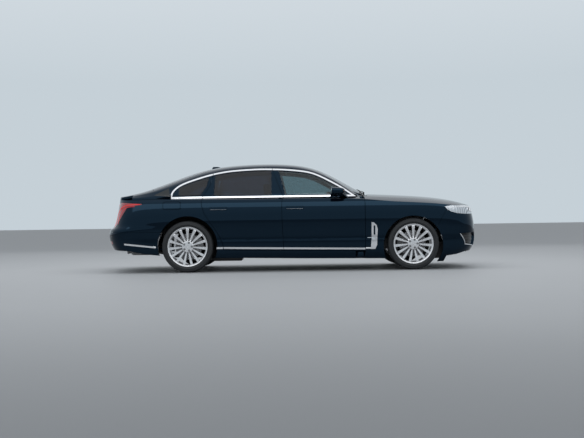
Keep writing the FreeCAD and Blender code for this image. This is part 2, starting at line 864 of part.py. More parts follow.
def roof_panel():
    thick = cabin_solid(0).common(box(-half_length, half_length, -width, width, height * 0.8, height * 2))
    shell = thick.cut(cabin_solid(pillar_depth * 0.5))
    panel = shell.common(roof_block(0).fuse(mirrored(roof_block(0))))
    tools = [plan_block(windshield_shares, -screen_lip), plan_block(rear_window_shares, -screen_lip)]
    for shares in (windshield_shares, rear_window_shares):
        tools.append(plan_block(shares, panel_gap / 4).cut(cabin_solid(glass_thickness + seat_gap)))
    panel = biggest(panel.cut(tools))
    fin = Part.makeLoft([fin_section(z, f, r, t) for z, f, r, t in fin_levels], True, False)
    return panel.fuse(fin).removeSplitter()


fin_levels = (
    (1435.0, -950.0, -1148.0, 30.0), (1458.0, -1000.0, -1140.0, 18.0), (1476.0, -1066.0, -1128.0, 6.0)
)


def fin_section(z, front, rear, half_thickness):
    middle = front + (rear - front) * 0.6
    points = [
        Vector(front, 0, z), Vector(middle, -half_thickness, z), Vector(rear, -half_thickness * 0.6, z),
              Vector(rear, half_thickness * 0.6, z), Vector(middle, half_thickness, z)]
    return polygon(points)


def screen(shares):
    glass = cabin_solid(0).cut(cabin_solid(glass_thickness))
    return biggest(plan_block(shares, -panel_gap / 4).common(glass))


def quarter_glass():
    glass = cabin_outer.cut(cabin_solid(glass_thickness))
    return biggest(quarter_prism(-panel_gap / 4).common(glass))


# Hood, fenders and nose.
hood_half_shares = (
    (0.43, 0.0),
    (0.4225, 0.3),
    (0.41, 0.6),
    (0.4, 0.785),
    (0.43, 0.815),
    (0.62, 0.79),
    (0.79, 0.74),
    (0.9, 0.66),
    (0.94, 0.55),
    (0.955, 0.3),
    (0.957, 0.0),
)
hood_depth = 26.0
cowl_front_x = 1115.0
grille_half = 470.0
grille_low = 300.0
grille_high = 800.0
grille_bars = 23
grille_frame = 26.0
grille_depth = 70.0
grille_bar_set = 12.0
lamp_half = 520.0
lamp_depth = 110.0
lamp_shelf_x = (2250.0, 2330.0)
lamp_shelf_low = 715.0
hood_pivot = (1025.0, 1003.0)
hood_pin = 5.0
hood_lug_y = 654.0
cowl_rear_x = 985.0
cowl_thickness = 14.0


def hood_block(grow):
    return plan_block(hood_half_shares, grow, 0.4, 0.9)


@functools.lru_cache(maxsize=None)
def nose_volume(depth):
    return ring_solid(depth).common(deck_solid(depth))


def fender():
    shell = lower_outer.common(box(0, length, -width, 0, 0, height)).cut(nose_volume(skin))
    front_edge = side_prism(
        [
            (door_front_x + panel_gap / 2, -1), (door_front_x + panel_gap / 2, height), (length, height),
            (length, -1)
        ]
    )
    shell = shell.common(front_edge)
    tools = [hood_block(panel_gap), bumper_block(False, panel_gap / 2), head_lamp_block(panel_gap / 2),
             wheel_cylinder(front_axle_x, arch_radius, -arch_front_drop, width), sill_cut(),
             hinge_turn(front_hinge_x, hinge_lead + panel_gap, -1, belt_height),
             plan_block(windshield_shares, panel_gap),
             box(0, cowl_front_x + panel_gap, -pillar_foot_y - fender_lap, 0, 0, height),
             nose_grille_block(panel_gap),
             box(half_length * 0.8, length, -lamp_half - panel_gap / 2, 0, 0, height)]
    return biggest(shell.cut(tools))


def head_lamp_block(grow):
    outline = [
        (2078 - grow * 2, 848 + grow), (2170, 862 + grow), (2334, 864 + grow), (length, 860 + grow),
        (length, 742 - grow),
               (2350, 746 - grow), (2252, 755 - grow), (2170, 776 - grow), (2108 - grow * 2, 811 - grow)]
    return side_prism(outline, near=-lamp_half + grow)


def nose_grille_block(grow):
    half = grille_half + grow
    low, high = grille_low - grow, grille_high + grow
    points = [Vector(half_length * 0.8, y, z) for y, z in (
        (-half * 0.86, low), (-half, low + 120), (-half, high - 60), (-half * 0.9, high),
        (half * 0.9, high), (half, high - 60), (half, low + 120), (half * 0.86, low))]
    return Part.Face(polygon(points)).extrude(Vector(half_length, 0, 0))


def hood():
    whole = nose_volume(0).common(box(0, length, -width, width, 0, height))
    panel = whole.cut(nose_volume(hood_depth)).common(hood_block(0))
    tools = [nose_grille_block(panel_gap), box(0, length, -width, width, 0, grille_high)]
    tools += both(head_lamp_block(panel_gap))
    x, z = hood_pivot
    lug_outline = [(x - 9, z - 6), (x - 9, z + 6), (x + 60, z + 8), (x + 60, z - 20), (x + 16, z - 12)]
    lug = side_prism(lug_outline, near=-hood_lug_y, far=-hood_lug_y - lid_arm_width)
    pin = rod(hood_pin, Vector(x, -hood_lug_y + 12, z), Vector(x, -hood_lug_y - lid_arm_width - 12, z))
    return fused([biggest(panel.cut(tools))] + both(lug) + both(pin)).removeSplitter()


def front_cowl():
    """Sunk panel under the rear edge of the hood that carries the windshield foot and the hood hinges."""
    area = box(cowl_rear_x, cowl_front_x + 10, -pillar_foot_y + seat_gap, 1, 0, height)
    top = hood_depth + panel_gap
    plate = nose_volume(top).cut(nose_volume(top + cowl_thickness)).common(area)
    rib = plan_block(windshield_shares, -panel_gap).cut(plan_block(windshield_shares, -screen_lip))
    rib = rib.common(
        cabin_solid(glass_thickness + seat_gap)
    ).cut(deck_solid(top + cowl_thickness / 2)).common(area)
    x, z = hood_pivot
    blocks = []
    for y in (-hood_lug_y + 2, -hood_lug_y - lid_arm_width - 14):
        block = box(x - 10, x + 10, y, y + 12, z - 24, z).fuse(
            rod(10.0, Vector(x, y, z), Vector(x, y + 12, z))
        )
        blocks.append(block)
    half = fused([plate, rib] + blocks)
    half = half.cut(
        rod(hood_pin + bearing_clearance, Vector(x, -hood_lug_y - 50, z), Vector(x, -hood_lug_y + 50, z))
    )
    half = half.cut(box(-length, length, 0, 2, -height, height))
    return fused(both(half)).removeSplitter()


def rear_cowl():
    """Strip between the rear window and the lid."""
    reach = half_width * 0.32
    edge = half_length * rear_window_shares[-1][0]
    area = box(edge - skin - panel_gap, edge + screen_lip * 2, -reach, reach, height / 2, height)
    layer = tail_volume(0).cut(tail_volume(skin)).common(area)
    tools = [lid_region(panel_gap), plan_block(rear_window_shares, -screen_lip)]
    tools.append(plan_block(rear_window_shares, panel_gap / 4).cut(cabin_solid(glass_thickness + seat_gap)))
    return biggest(layer.cut(tools))


def front_bumper():
    whole = nose_volume(0).common(box(half_length * 0.7, length, -width, width, 0, height))
    shell = whole.cut(nose_volume(skin * 1.5))
    block = bumper_block(False, 0)
    shell = shell.common(
        fused(both(block) + [box(half_length * 0.9, length, -lamp_half, lamp_half, 0, height)])
    )
    tools = [hood_block(panel_gap), nose_grille_block(seat_gap)]
    tools += both(head_lamp_block(panel_gap / 2))
    tools += both(wheel_cylinder(front_axle_x, arch_radius, -arch_front_drop, width))
    tools += both(
        side_prism([(2060, 90), (2101, 178), (2238, 196), (2375, 236), (2640, 250), (2640, 0), (2060, 0)])
    )
    tools += both(intake_prism())
    panel = biggest(shell.cut(tools))
    shelf = nose_volume(skin).cut(nose_volume(lamp_depth)).common(
        box(lamp_shelf_x[0], lamp_shelf_x[1], -half_width, -lamp_half, lamp_shelf_low, height)
    )
    shelf = shelf.common(block).cut(head_lamp_block(seat_gap))
    return fused([panel] + both(shelf)).removeSplitter()


def intake_prism():
    points = [
        Vector(0, y, z) for y,
        z in ((-580.0, 300.0), (-820.0, 330.0), (-860.0, 480.0), (-640.0, 500.0), (-560.0, 440.0))
    ]
    return Part.Face(polygon(points)).extrude(Vector(length, 0, 0))


def head_lamp():
    body = lower_outer.common(box(0, length, -width, 0, 0, height)).cut(nose_volume(lamp_depth))
    lamp = body.common(head_lamp_block(0))
    return biggest(lamp.cut([nose_grille_block(panel_gap), hood_block(panel_gap)]))


def grille():
    """Frame and upright bars, set into the nose opening."""
    near = box(half_length * 0.85, length, -width, 0, 0, height)
    outer = nose_volume(0).common(near)
    back = nose_volume(grille_depth).common(near)
    frame = outer.cut(back).common(nose_grille_block(0)).cut(nose_grille_block(-grille_frame))
    pitch = 2 * (grille_half - grille_frame) / (grille_bars + 1)
    bar_layer = nose_volume(grille_bar_set).common(near).cut(back).common(
        nose_grille_block(-grille_frame * 0.8)
    )
    uprights = []
    for i in range((grille_bars + 1) // 2):
        y = -grille_half + grille_frame + pitch * (i + 1)
        uprights.append(box(half_length * 0.8, length, y - pitch * 0.2, min(y + pitch * 0.2, 0), 0, height))
    bars = bar_layer.common(Part.makeCompound(uprights)).Solids
    backing = nose_volume(grille_depth - 8.0).common(near).cut(back).common(
        nose_grille_block(-grille_frame * 0.8)
    )
    half = fused([frame, backing] + bars)
    return biggest(fused(both(half)))


# Tail: lid, lamps, bumper and fuel door.
lid_depth = 30.0
lid_lamp_z = (902.0, 956.0)
lid_lamp_depth = 24.0
lid_lip = (5.0, 14.0, -2000.0)
tail_lamp_depth = 120.0
lid_arm_outline = ((12, 10), (12, -50), (-34, -136), (-160, -136), (-190, -80), (-190, 130),
                   (-162, 130), (-162, -70), (-146, -108), (-50, -108), (-12, -40), (-12, 10))


@functools.lru_cache(maxsize=None)
def tail_volume(depth):
    """Rear body below deck and fastback, sunk by a depth."""
    rear = box(-length, -half_length * 0.5, -width, width, 0, height * 2)
    inner = ring_solid(depth)
    return inner.common(deck_solid(depth)).common(rear).fuse(cabin_solid(depth).common(inner).common(rear))


def lid_region(grow):
    return lid_block(grow).fuse(mirrored(lid_block(grow)))


def lid_lamp_block(grow):
    low, high = lid_lamp_z
    half = lid_half - strip_width + grow
    return box(-length, -half_length * 0.8, -half, half, low - grow, high + grow)


def trunk_lid():
    shell = tail_volume(0).cut(tail_volume(lid_depth)).common(lid_region(0))
    pocket = lid_lamp_block(seat_gap).cut(tail_volume(lid_lamp_depth))
    rear_glass = plan_block(rear_window_shares, panel_gap)
    lip_thickness, lip_length, lip_rear = lid_lip
    under_lip = cabin_solid(lip_thickness).common(
        box(lip_rear, 0, -width, width, 0, height)
    ).cut(lid_region(-lip_length))
    panel = biggest(shell.cut([pocket, rear_glass, under_lip]))
    outline = [(lid_pivot_x + x, lid_pivot_z + z) for x, z in lid_arm_outline]
    arm = side_prism(
        outline, near=-lid_arm_y, far=-lid_arm_y - lid_arm_width
    ).common(tail_volume(lid_depth))
    middle = Vector(lid_pivot_x, -lid_arm_y, lid_pivot_z)
    pin = rod(lid_pin, middle + Vector(0, 30, 0), middle - Vector(0, lid_arm_width, 0))
    return fused([panel] + both(arm) + both(pin)).removeSplitter()


def lid_lamp():
    layer = tail_volume(0).cut(tail_volume(lid_lamp_depth - seat_gap))
    return biggest(layer.common(lid_lamp_block(0)))


def tail_lamp():
    layer = tail_volume(0).common(right_half).cut(tail_volume(tail_lamp_depth))
    lamp = layer.common(tail_lamp_block(0))
    return biggest(lamp.cut(lid_block(panel_gap)))


def rear_bumper():
    whole = ring_solid(0).common(box(-length, -half_length * 0.5, -width, width, 0, height))
    shell = whole.cut(ring_solid(bumper_depth)).common(fused(both(bumper_block(True, 0))))
    tools = both(wheel_cylinder(rear_axle_x, arch_radius, arch_rear_lift, width))
    tools += both(
        side_prism(
            [
                (-length, 312), (-2480, 313), (-2203, 296), (-1999, 252), (-1790, 232), (-1600, 225),
                (-1600, 0), (-length, 0)
            ]
        )
    )
    tools.append(box(-length, -half_length * 0.9, -lid_half, lid_half, lamp_low + 1, height))
    return biggest(shell.cut(tools))


def fuel_door():
    panel = biggest(fuel_prism(0).common(ring_outer.cut(ring_solid(fuel_door_depth))))
    axis = fuel_pivot_high - fuel_pivot_low
    pin = rod(fuel_pin, fuel_pivot_low + axis * 0.02, fuel_pivot_high - axis * 0.02)
    return panel.fuse(pin)


# Wheels.
rim_width = 226.0
flange_radius = 270.0
flange_width = 9.0
hub_radius = 78.0
spoke_count = 15
disc_radius = 180.0
disc_inset = 20.0
bearing_radius = 34.0
spindle_inner = 150.0


def revolved(points, start_y=0.0):
    """Turns a radius and width profile about the wheel axis."""
    outline = [Vector(0, y, r) for r, y in points]
    return Part.Face(polygon(outline)).revolve(Vector(0, 0, 0), Vector(0, 1, 0), 360)


def tyre(x, side):
    half = tyre_width / 2
    tread = half - 22.0
    bead = rim_radius + seat_gap * 2
    lip = rim_width / 2 - flange_width - seat_gap
    outline = [
        (tyre_radius, -tread), (tyre_radius - 16, -half + 5), (tyre_radius - 52, -half),
        (flange_radius + seat_gap, -lip),
               (bead, -lip), (bead, -lip + 18), (tyre_radius - 24, -half + 26)]
    other = [(r, -y) for r, y in outline][::-1]
    shape = revolved(outline + other)
    shape.translate(Vector(x, side * half_track, tyre_radius))
    return shape


def rim(x, side):
    """Alloy wheel seen from its outer face at negative Y, with the disc bolted behind it."""
    half = rim_width / 2
    barrel = [
        (flange_radius, -half - 2), (flange_radius, -half + flange_width),
        (rim_radius, -half + flange_width), (rim_radius, half - flange_width),
        (flange_radius, half - flange_width), (flange_radius, half + 2), (rim_radius - 12, half - 6),
        (rim_radius - 12, -half + 16), (flange_radius - 8, -half - 2)]
    shape = revolved(barrel)
    face_y = -half + 6
    hub = revolved(
        [
            (bearing_radius + bearing_clearance, face_y + 22), (hub_radius, face_y + 16),
            (hub_radius, face_y + 50), (bearing_radius + 22, face_y + 62),
            (bearing_radius + 22, spindle_inner - half - 10),
            (bearing_radius + bearing_clearance, spindle_inner - half - 10)
        ]
    )
    cap = revolved(
        [
            (0, face_y + 14), (hub_radius - 26, face_y + 14), (hub_radius, face_y + 16),
            (hub_radius, face_y + 26), (0, face_y + 26)
        ]
    )
    spokes = []
    for i in range(spoke_count):
        inner = [
            Vector(-8, face_y + 18, hub_radius - 12), Vector(8, face_y + 18, hub_radius - 12),
            Vector(11, face_y + 52, hub_radius - 12), Vector(-11, face_y + 52, hub_radius - 12)
        ]
        outer = [
            Vector(-19, face_y + 2, rim_radius - 8), Vector(19, face_y + 2, rim_radius - 8),
            Vector(12, face_y + 24, rim_radius - 8), Vector(-12, face_y + 24, rim_radius - 8)
        ]
        spoke = Part.makeLoft([polygon(inner), polygon(outer)], True, True)
        spoke.rotate(Vector(0, 0, 0), Vector(0, 1, 0), 360 / spoke_count * i)
        spokes.append(spoke)
    disc_y = half - rim_width / 2 + disc_inset
    disc = revolved(
        [
            (bearing_radius + 20, disc_y), (disc_radius, disc_y), (disc_radius, disc_y + 30),
            (bearing_radius + 20, disc_y + 30)
        ]
    )
    shape = fused([shape, hub, cap, disc] + spokes).removeSplitter()
    if side > 0:
        shape = mirrored(shape)
    shape.translate(Vector(x, side * half_track, tyre_radius))
    return shape


# Running gear. Places along the axle are measured outward from the wheel's middle plane.
kingpin_reach = 728.0
kingpin_radius = 11.0
knuckle_low = 205.0
knuckle_high = 505.0
knuckle_thickness = 40.0
arm_thickness = 30.0
arm_inner_y = 440.0
caliper_angle = 75.0
rail_inner_y = 400.0
rail_outer_y = 478.0
rail_low = 420.0
rail_high = 520.0
subframe_low = 180.0
axle_floor = 520.0
rack_z = 232.0
engine_low = 270.0
engine_x = (1180.0, 1850.0)
engine_half = 300.0
engine_top = 850.0
hub_length = rim_width / 2 - 27.0
spindle_tip = rim_width / 2 - 32.0
flange_face = half_track - (spindle_inner - rim_width / 2 - 10.0) - bearing_clearance


def caliper(x, angle, inner_reach):
    """Brake caliper astride the disc, clear of its faces."""
    disc_out = half_track - disc_inset
    disc_in = disc_out - 30.0
    gap = panel_gap / 2
    outer = box(-62, 62, -disc_out - 22, -inner_reach, disc_radius - 66, disc_radius + 24)
    slot = rod(disc_radius + gap * 2, Vector(0, -disc_out - gap, 0), Vector(0, -disc_in + gap, 0))
    bracket = box(-30, 30, -inner_reach - 4, -inner_reach + 20, 40, disc_radius - 60)
    shape = outer.cut(slot).fuse(bracket)
    shape.rotate(Vector(0, 0, 0), Vector(0, 1, 0), angle)
    shape.translate(Vector(x, 0, tyre_radius))
    return shape


def spindle(x, inner_y):
    tip = Vector(x, -half_track - spindle_tip, tyre_radius)
    root = Vector(x, -inner_y, tyre_radius)
    return rod(bearing_radius, root, tip)


def knuckle():
    """Right front upright with its spindle, caliper and king pins."""
    x = front_axle_x
    plate_out = flange_face
    plate_in = plate_out - knuckle_thickness
    upright = [
        (x - 34, knuckle_low), (x + 34, knuckle_low), (x + 56, tyre_radius - 30),
        (x + 56, tyre_radius + 40), (x + 30, knuckle_high), (x - 30, knuckle_high),
               (x - 56, tyre_radius + 40), (x - 56, tyre_radius - 30)]
    parts = [side_prism(upright, near=-kingpin_reach + 22, far=-plate_in)]
    parts.append(
        rod(
            bearing_radius + 20, Vector(x, -kingpin_reach + 22, tyre_radius),
            Vector(x, -plate_out, tyre_radius)
        )
    )
    parts.append(spindle(x, plate_in))
    parts.append(
        rod(
            kingpin_radius, Vector(x, -kingpin_reach, knuckle_low - arm_thickness - 12),
            Vector(x, -kingpin_reach, knuckle_high + arm_thickness + 12)
        )
    )
    parts.append(caliper(x, -caliper_angle, kingpin_reach - 6))
    arm = [
        (x - 20, tyre_radius - 60), (x - 150, tyre_radius - 66), (x - 150, tyre_radius - 40),
        (x - 20, tyre_radius - 20)
    ]
    parts.append(side_prism(arm, near=-kingpin_reach + 22, far=-kingpin_reach - 10))
    return fused(parts).removeSplitter()


def wishbone(x, low, spread):
    """Flat arm from two inner feet to the king pin eye."""
    eye = kingpin_radius + 17
    tip = Part.makeCylinder(eye, arm_thickness, Vector(x, -kingpin_reach, low))
    plate = plan_prism(
        [
            (x - spread, -arm_inner_y), (x + spread, -arm_inner_y), (x + eye * 0.9, -kingpin_reach),
            (x - eye * 0.9, -kingpin_reach)
        ],
        low, low + arm_thickness
    )
    hole = plan_prism(
        [
            (x - spread * 0.55, -arm_inner_y - 40), (x + spread * 0.55, -arm_inner_y - 40),
            (x, -kingpin_reach + 90)
        ],
        low - 1, low + arm_thickness + 1
    )
    bore = Part.makeCylinder(
        kingpin_radius + bearing_clearance, arm_thickness * 2,
        Vector(x, -kingpin_reach, low - arm_thickness / 2)
    )
    return tip.fuse(plate).cut([hole, bore])


def front_suspension():
    x = front_axle_x
    parts = []
    lower = wishbone(x, knuckle_low - arm_thickness - 0.5, 170.0)
    rail_room = box(
        x - length, x + length, -rail_outer_y - seat_gap, 0, rail_low - seat_gap, rail_high + seat_gap
    )
    upper = wishbone(x, knuckle_high + 0.5, 120.0).cut(rail_room)
    beam = box(x - 150, x + 150, -arm_inner_y - 10, 1, subframe_low - 10, engine_low - seat_gap)
    leg = box(x - 150, x + 150, -arm_inner_y - 10, -rail_inner_y, subframe_low, rail_low - seat_gap)
    half = lower.fuse([upper, beam, leg])
    rack_x = x - 176
    rack = rod(22.0, Vector(rack_x, 0, rack_z), Vector(rack_x, -arm_inner_y - 60, rack_z))
    mount = box(rack_x - 10, x - 140, -300, -240, rack_z - 14, rack_z + 14)
    half = half.fuse([rack, mount])
    side = [half, upper_link(x)]
    return fused([part for piece in side for part in both(piece)]).removeSplitter()


def upper_link(x):
    """Outer flank of the rail that carries the upper arm."""
    return box(
        x - 120, x + 120, -arm_inner_y - 46, -rail_outer_y - seat_gap, subframe_low + 20,
        knuckle_high + arm_thickness
    )


def rear_suspension():
    x = rear_axle_x
    plate_out = flange_face
    plate_in = plate_out - knuckle_thickness
    parts = [
        side_prism(
            [(x - 60, 230), (x + 60, 230), (x + 70, 360), (x + 34, 500), (x - 34, 500), (x - 70, 360)],
            near=-plate_in + 30, far=-plate_in
        )
    ]
    parts.append(
        rod(bearing_radius + 20, Vector(x, -plate_in + 10, tyre_radius), Vector(x, -plate_out, tyre_radius))
    )
    parts.append(spindle(x, plate_in))
    parts.append(caliper(x, caliper_angle, plate_in))
    for dx, z in ((-110, 240.0), (50, 245.0), (0, 465.0)):
        parts.append(rod(17.0, Vector(x + dx * 0.4, -plate_in + 10, z), Vector(x + dx, -330, z + 20)))
    parts.append(rod(32.0, Vector(x - 20, -640, 262), Vector(x - 20, -612, 560)))
    parts.append(box(x - 170, x + 60, -360, 1, 235, 330))
    for dx in (-170, -50):
        parts.append(box(x + dx, x + dx + 90, -360, -300, 300, axle_floor - seat_gap))
    parts.append(rod(80.0, Vector(x, -150, tyre_radius - 10), Vector(x, 1, tyre_radius - 10)))
    parts.append(rod(22.0, Vector(x, -plate_in + 10, tyre_radius), Vector(x, -1, tyre_radius - 10)))
    half = fused(parts)
    return fused(both(half)).removeSplitter()


# Underbody: floor, tunnel, bulkheads, rails, wheel houses and luggage floor.
sheet = 12.0
axle_floor_rear_x = -1790.0
lid_bracket_y = 452.0
firewall_x = 1010.0
rear_wall_x = -1330.0
luggage_floor = 340.0
shelf_z = 1010.0
tunnel_half = 130.0
tunnel_top = 298.0
heel_x = -620.0
house_radius = 424.0
front_house_radius = 446.0
house_inner_y = 556.0


def inside(depth):
    return ring_solid(depth).common(box(-length, length, -width, 1, 0, height))


def underbody():
    """Right half of the platform, closed on the centre plane."""
    room = inside(sill_depth + seat_gap)
    pieces = []
    pieces.append(
        room.common(box(rear_wall_x, firewall_x, -width, 1, floor_height, floor_height + floor_thickness))
    )
    pieces.append(box(rear_wall_x, firewall_x, -tunnel_half - sheet, 1, floor_height, tunnel_top))
    cowl_under = deck_solid(hood_depth + panel_gap + cowl_thickness + seat_gap)
    pieces.append(
        room.common(box(firewall_x, firewall_x + sheet, -width, 1, floor_height, height)).common(cowl_under)
    )
    pieces.append(
        room.common(box(heel_x - 460, heel_x, -width, 1, floor_height, 310)).cut(
            box(heel_x - 500, heel_x - sheet, -width, 2, 0, 310 - sheet)
        )
    )
    pieces.append(room.common(box(rear_wall_x, rear_wall_x + sheet, -width, 1, floor_height, shelf_z)))
    tail_room = tail_volume(sill_depth + seat_gap).common(box(-length, 0, -width, 1, 0, height))
    step_x = axle_floor_rear_x
    pieces.append(
        tail_room.common(
            box(-half_length * 0.94, step_x + sheet, -width, 1, luggage_floor, luggage_floor + sheet)
        )
    )
    pieces.append(
        tail_room.common(box(step_x, step_x + sheet, -width, 1, luggage_floor, axle_floor + sheet))
    )
    pieces.append(
        tail_room.common(box(step_x, rear_wall_x + sheet, -width, 1, axle_floor, axle_floor + sheet))
    )
    shelf_x = lid_pivot_x + 30
    pieces.append(tail_room.common(box(shelf_x, rear_wall_x + sheet, -width, 1, shelf_z - sheet, shelf_z)))
    eye_y = -lid_bracket_y - lid_arm_width
    eye = rod(
        lid_eye, Vector(lid_pivot_x, eye_y, lid_pivot_z), Vector(lid_pivot_x, -lid_bracket_y, lid_pivot_z)
    )
    web = [
        (lid_pivot_x - lid_eye, lid_pivot_z), (lid_pivot_x + lid_eye, lid_pivot_z), (shelf_x + 60, shelf_z),
           (shelf_x + 60, shelf_z - sheet), (shelf_x, shelf_z - sheet)]
    eye = eye.fuse(side_prism(web, near=-lid_bracket_y, far=eye_y))
    pieces.append(eye.cut(rod(lid_pin + bearing_clearance, Vector(lid_pivot_x, eye_y - 1, lid_pivot_z),
                              Vector(lid_pivot_x, 1 - lid_bracket_y, lid_pivot_z))))
    pieces.append(
        box(
            half_length * -0.94, half_length * -0.94 + sheet, -lid_half + 60, 1, luggage_floor,
            lamp_low - 40
        )
    )
    rear_house = rod(
        house_radius, Vector(rear_axle_x, -width, tyre_radius + arch_rear_lift),
        Vector(rear_axle_x, -house_inner_y, tyre_radius + arch_rear_lift)
    )
    hollow = rod(
        house_radius - sheet / 2, Vector(rear_axle_x, -width, tyre_radius + arch_rear_lift),
        Vector(rear_axle_x, -house_inner_y - sheet / 2, tyre_radius + arch_rear_lift)
    )
    above = box(-length, rear_wall_x, -width, 0, axle_floor, height).fuse(
        box(rear_wall_x, length, -width, 0, floor_height, height)
    )
    house = rear_house.common(room).common(above)
    rail_x = half_length * 0.93
    rail = box(firewall_x, rail_x, -rail_outer_y, -rail_inner_y, rail_low, rail_high)
    front_start = Vector(front_axle_x, -width, tyre_radius - arch_front_drop)
    front_end = Vector(front_axle_x, -rail_inner_y, tyre_radius - arch_front_drop)
    front_shell = rod(front_house_radius, front_start, front_end).cut(
        rod(front_house_radius - sheet / 2, front_start, front_end)
    )
    front_shell = front_shell.common(nose_volume(skin * 1.5 + seat_gap)).common(
        box(0, length, -width, 0, rail_low, height)
    )
    pieces += [rail, front_shell]
    beam = nose_volume(skin * 1.5 + seat_gap).common(box(rail_x - 40, length, -560, 1, rail_low, rail_high))
    beam = beam.cut(nose_grille_block(panel_gap))
    pieces.append(beam)
    body = fused([p for p in pieces] + [house])
    tunnel = box(
        rear_wall_x - overrun, firewall_x + overrun, -tunnel_half, tunnel_half, 0, tunnel_top - sheet
    )
    body = body.cut([hollow, tunnel, box(-length, length, 0, 2, -height, height * 2)])
    return biggest(fused(both(body)).removeSplitter())


# Cabin: seats, dashboard with console, steering wheel.
seat_y = 372.0
seat_half = 262.0
seat_front_x = 330.0
seat_back_x = -190.0
seat_low = 300.0
seat_top = 470.0
back_lean = 150.0
back_top = 1010.0
seat_rounding = 34.0
rest_half = 130.0
bench_half = 640.0
bench_front_x = -590.0
bench_back_x = -1060.0
wheel_centre = (398.0, 372.0, 882.0)
wheel_tilt = 24.0
wheel_ring = 184.0
wheel_grip = 15.0
column_radius = 20.0


def soft_block(outline, half, radius):
    """Cushion with rounded edges from a side outline."""
    block = side_prism(outline, near=half, far=-half)
    edges = [e for e in block.Edges if e.Length > radius * 2]
    return block.makeFillet(radius, edges)


def front_seat():
    floor = floor_height + floor_thickness
    cushion = soft_block(
        [
            (seat_front_x, seat_low), (seat_front_x, seat_top), (seat_back_x, seat_top - 40),
            (seat_back_x, seat_low)
        ],
        seat_half, seat_rounding
    )
    back = soft_block(
        [
            (seat_back_x + 90, seat_top - 60), (seat_back_x + 90 - back_lean, back_top),
            (seat_back_x - 20 - back_lean, back_top), (seat_back_x - 50, seat_top - 60)
        ],
        seat_half - 20, seat_rounding
    )
    rest = soft_block(
        [
            (seat_back_x + 60 - back_lean, back_top + 20), (seat_back_x + 30 - back_lean, back_top + 190),
            (seat_back_x - 50 - back_lean, back_top + 190), (seat_back_x - 40 - back_lean, back_top + 20)
        ],
        rest_half, 24.0
    )
    posts = [
        rod(
            7.0, Vector(seat_back_x - back_lean, y, back_top - 60),
            Vector(seat_back_x - back_lean, y, back_top + 60)
        )
        for y in (-60, 60)
    ]
    rails = [
        box(seat_back_x + 20, seat_front_x - 40, y - 20, y + 20, floor, seat_low + 40) for y in (-190, 190)
    ]
    seat = fused([cushion, back, rest] + posts + rails)
    seat.translate(Vector(0, -seat_y, 0))
    return seat


def rear_seat():
    cushion = soft_block(
        [(bench_front_x, 310), (bench_front_x, 480), (bench_back_x, 430), (bench_back_x, 310)], bench_half,
        seat_rounding
    )
    back = soft_block(
        [
            (bench_back_x + 100, 410), (bench_back_x - 60, 985), (bench_back_x - 190, 985),
            (bench_back_x - 90, 410)
        ],
        bench_half - 10, seat_rounding
    )
    rests = [
        soft_block(
            [
                (bench_back_x - 60, 970), (bench_back_x - 90, 1100), (bench_back_x - 160, 1100),
                (bench_back_x - 160, 970)
            ],
            120, 22.0
        )
        for _ in range(2)
    ]
    rests[0].translate(Vector(0, -seat_y, 0))
    rests[1].translate(Vector(0, seat_y, 0))
    seat = fused([cushion, back] + rests)
    start = Vector(rear_axle_x, -width, tyre_radius + arch_rear_lift)
    house = rod(house_radius + panel_gap, start, Vector(rear_axle_x, panel_gap - house_inner_y, start.z))
    return seat.cut(both(house))


def dashboard():
    room = inside(sill_depth + seat_gap).common(box(0, length, -pillar_foot_y + 1, 1, 0, height))
    room = room.fuse(mirrored(room))
    section = [
        (firewall_x - seat_gap, 980), (830, 985), (640, 950), (585, 900), (600, 800), (700, 640),
        (firewall_x - seat_gap, 600)
    ]
    panel = side_prism(section, near=half_width, far=-half_width).common(room)
    panel = panel.cut(behind_windshield())
    console = side_prism(
        [
            (660, 780), (520, 560), (-120, 540), (-250, 500), (-250, floor_height + floor_thickness + 10),
            (690, floor_height + floor_thickness + 10)
        ],
        near=98, far=-98
    )
    tunnel_side = tunnel_half + sheet + seat_gap
    tunnel_room = box(-length, length, -tunnel_side, tunnel_side, 0, tunnel_top + seat_gap)
    console = console.cut(tunnel_room)
    x, y, z = wheel_centre
    lean = math.radians(wheel_tilt)
    forward = Vector(math.cos(lean), 0, -math.sin(lean))
    centre = Vector(x, y, z)
    column = rod(38.0, centre + forward * 70, centre + forward * 300)
    stub = rod(column_radius, centre + forward * 8, centre + forward * 100)
    binnacle = side_prism([(560, 925), (700, 940), (700, 1000), (620, 1005)], near=y + 170, far=y - 170)
    screen_slab = side_prism([(576, 840), (600, 840), (600, 1000), (584, 1000)], near=160, far=-190)
    return fused([panel, console, column, stub, binnacle, screen_slab]).removeSplitter()


def behind_windshield():
    return box(0, length, -length, length, 0, height).cut(
        cabin_solid(pillar_depth * 0.6).fuse(box(0, length, -length, length, 0, height * 0.6))
    )


def steering_wheel():
    x, y, z = wheel_centre
    ring = Part.makeTorus(wheel_ring, wheel_grip)
    hub = Part.makeCylinder(52, 46, Vector(0, 0, -40))
    bore = Part.makeCylinder(column_radius + bearing_clearance, 40, Vector(0, 0, -48))
    spokes = [
        box(0, wheel_ring, -22, 22, -12, 6), box(-wheel_ring, 0, -22, 22, -12, 6),
        box(-18, 18, -wheel_ring, 0, -12, 6)
    ]
    wheel = fused([ring, hub] + spokes).cut(bore)
    rim_inner = wheel
    rim_inner.rotate(Vector(0, 0, 0), Vector(0, 0, 1), 90)
    rim_inner.rotate(Vector(0, 0, 0), Vector(0, 1, 0), -(90 - wheel_tilt))
    rim_inner.translate(Vector(x, y, z))
    return rim_inner


def engine_block():
    block = box(engine_x[0], engine_x[1], -engine_half, engine_half, engine_low, engine_top)
    return block.makeFillet(30, block.Edges)


pipe_radius = 28.0
pipe_z = 200.0
silencer_x = (-2260.0, -1990.0)
silencer_half = 400.0
tail_pipe_y = 330.0
tail_pipe_x = -2330.0
tank_x = (-1140.0, -700.0)
tank_y = (-470.0, -tunnel_half)
tank_depth = 58.0


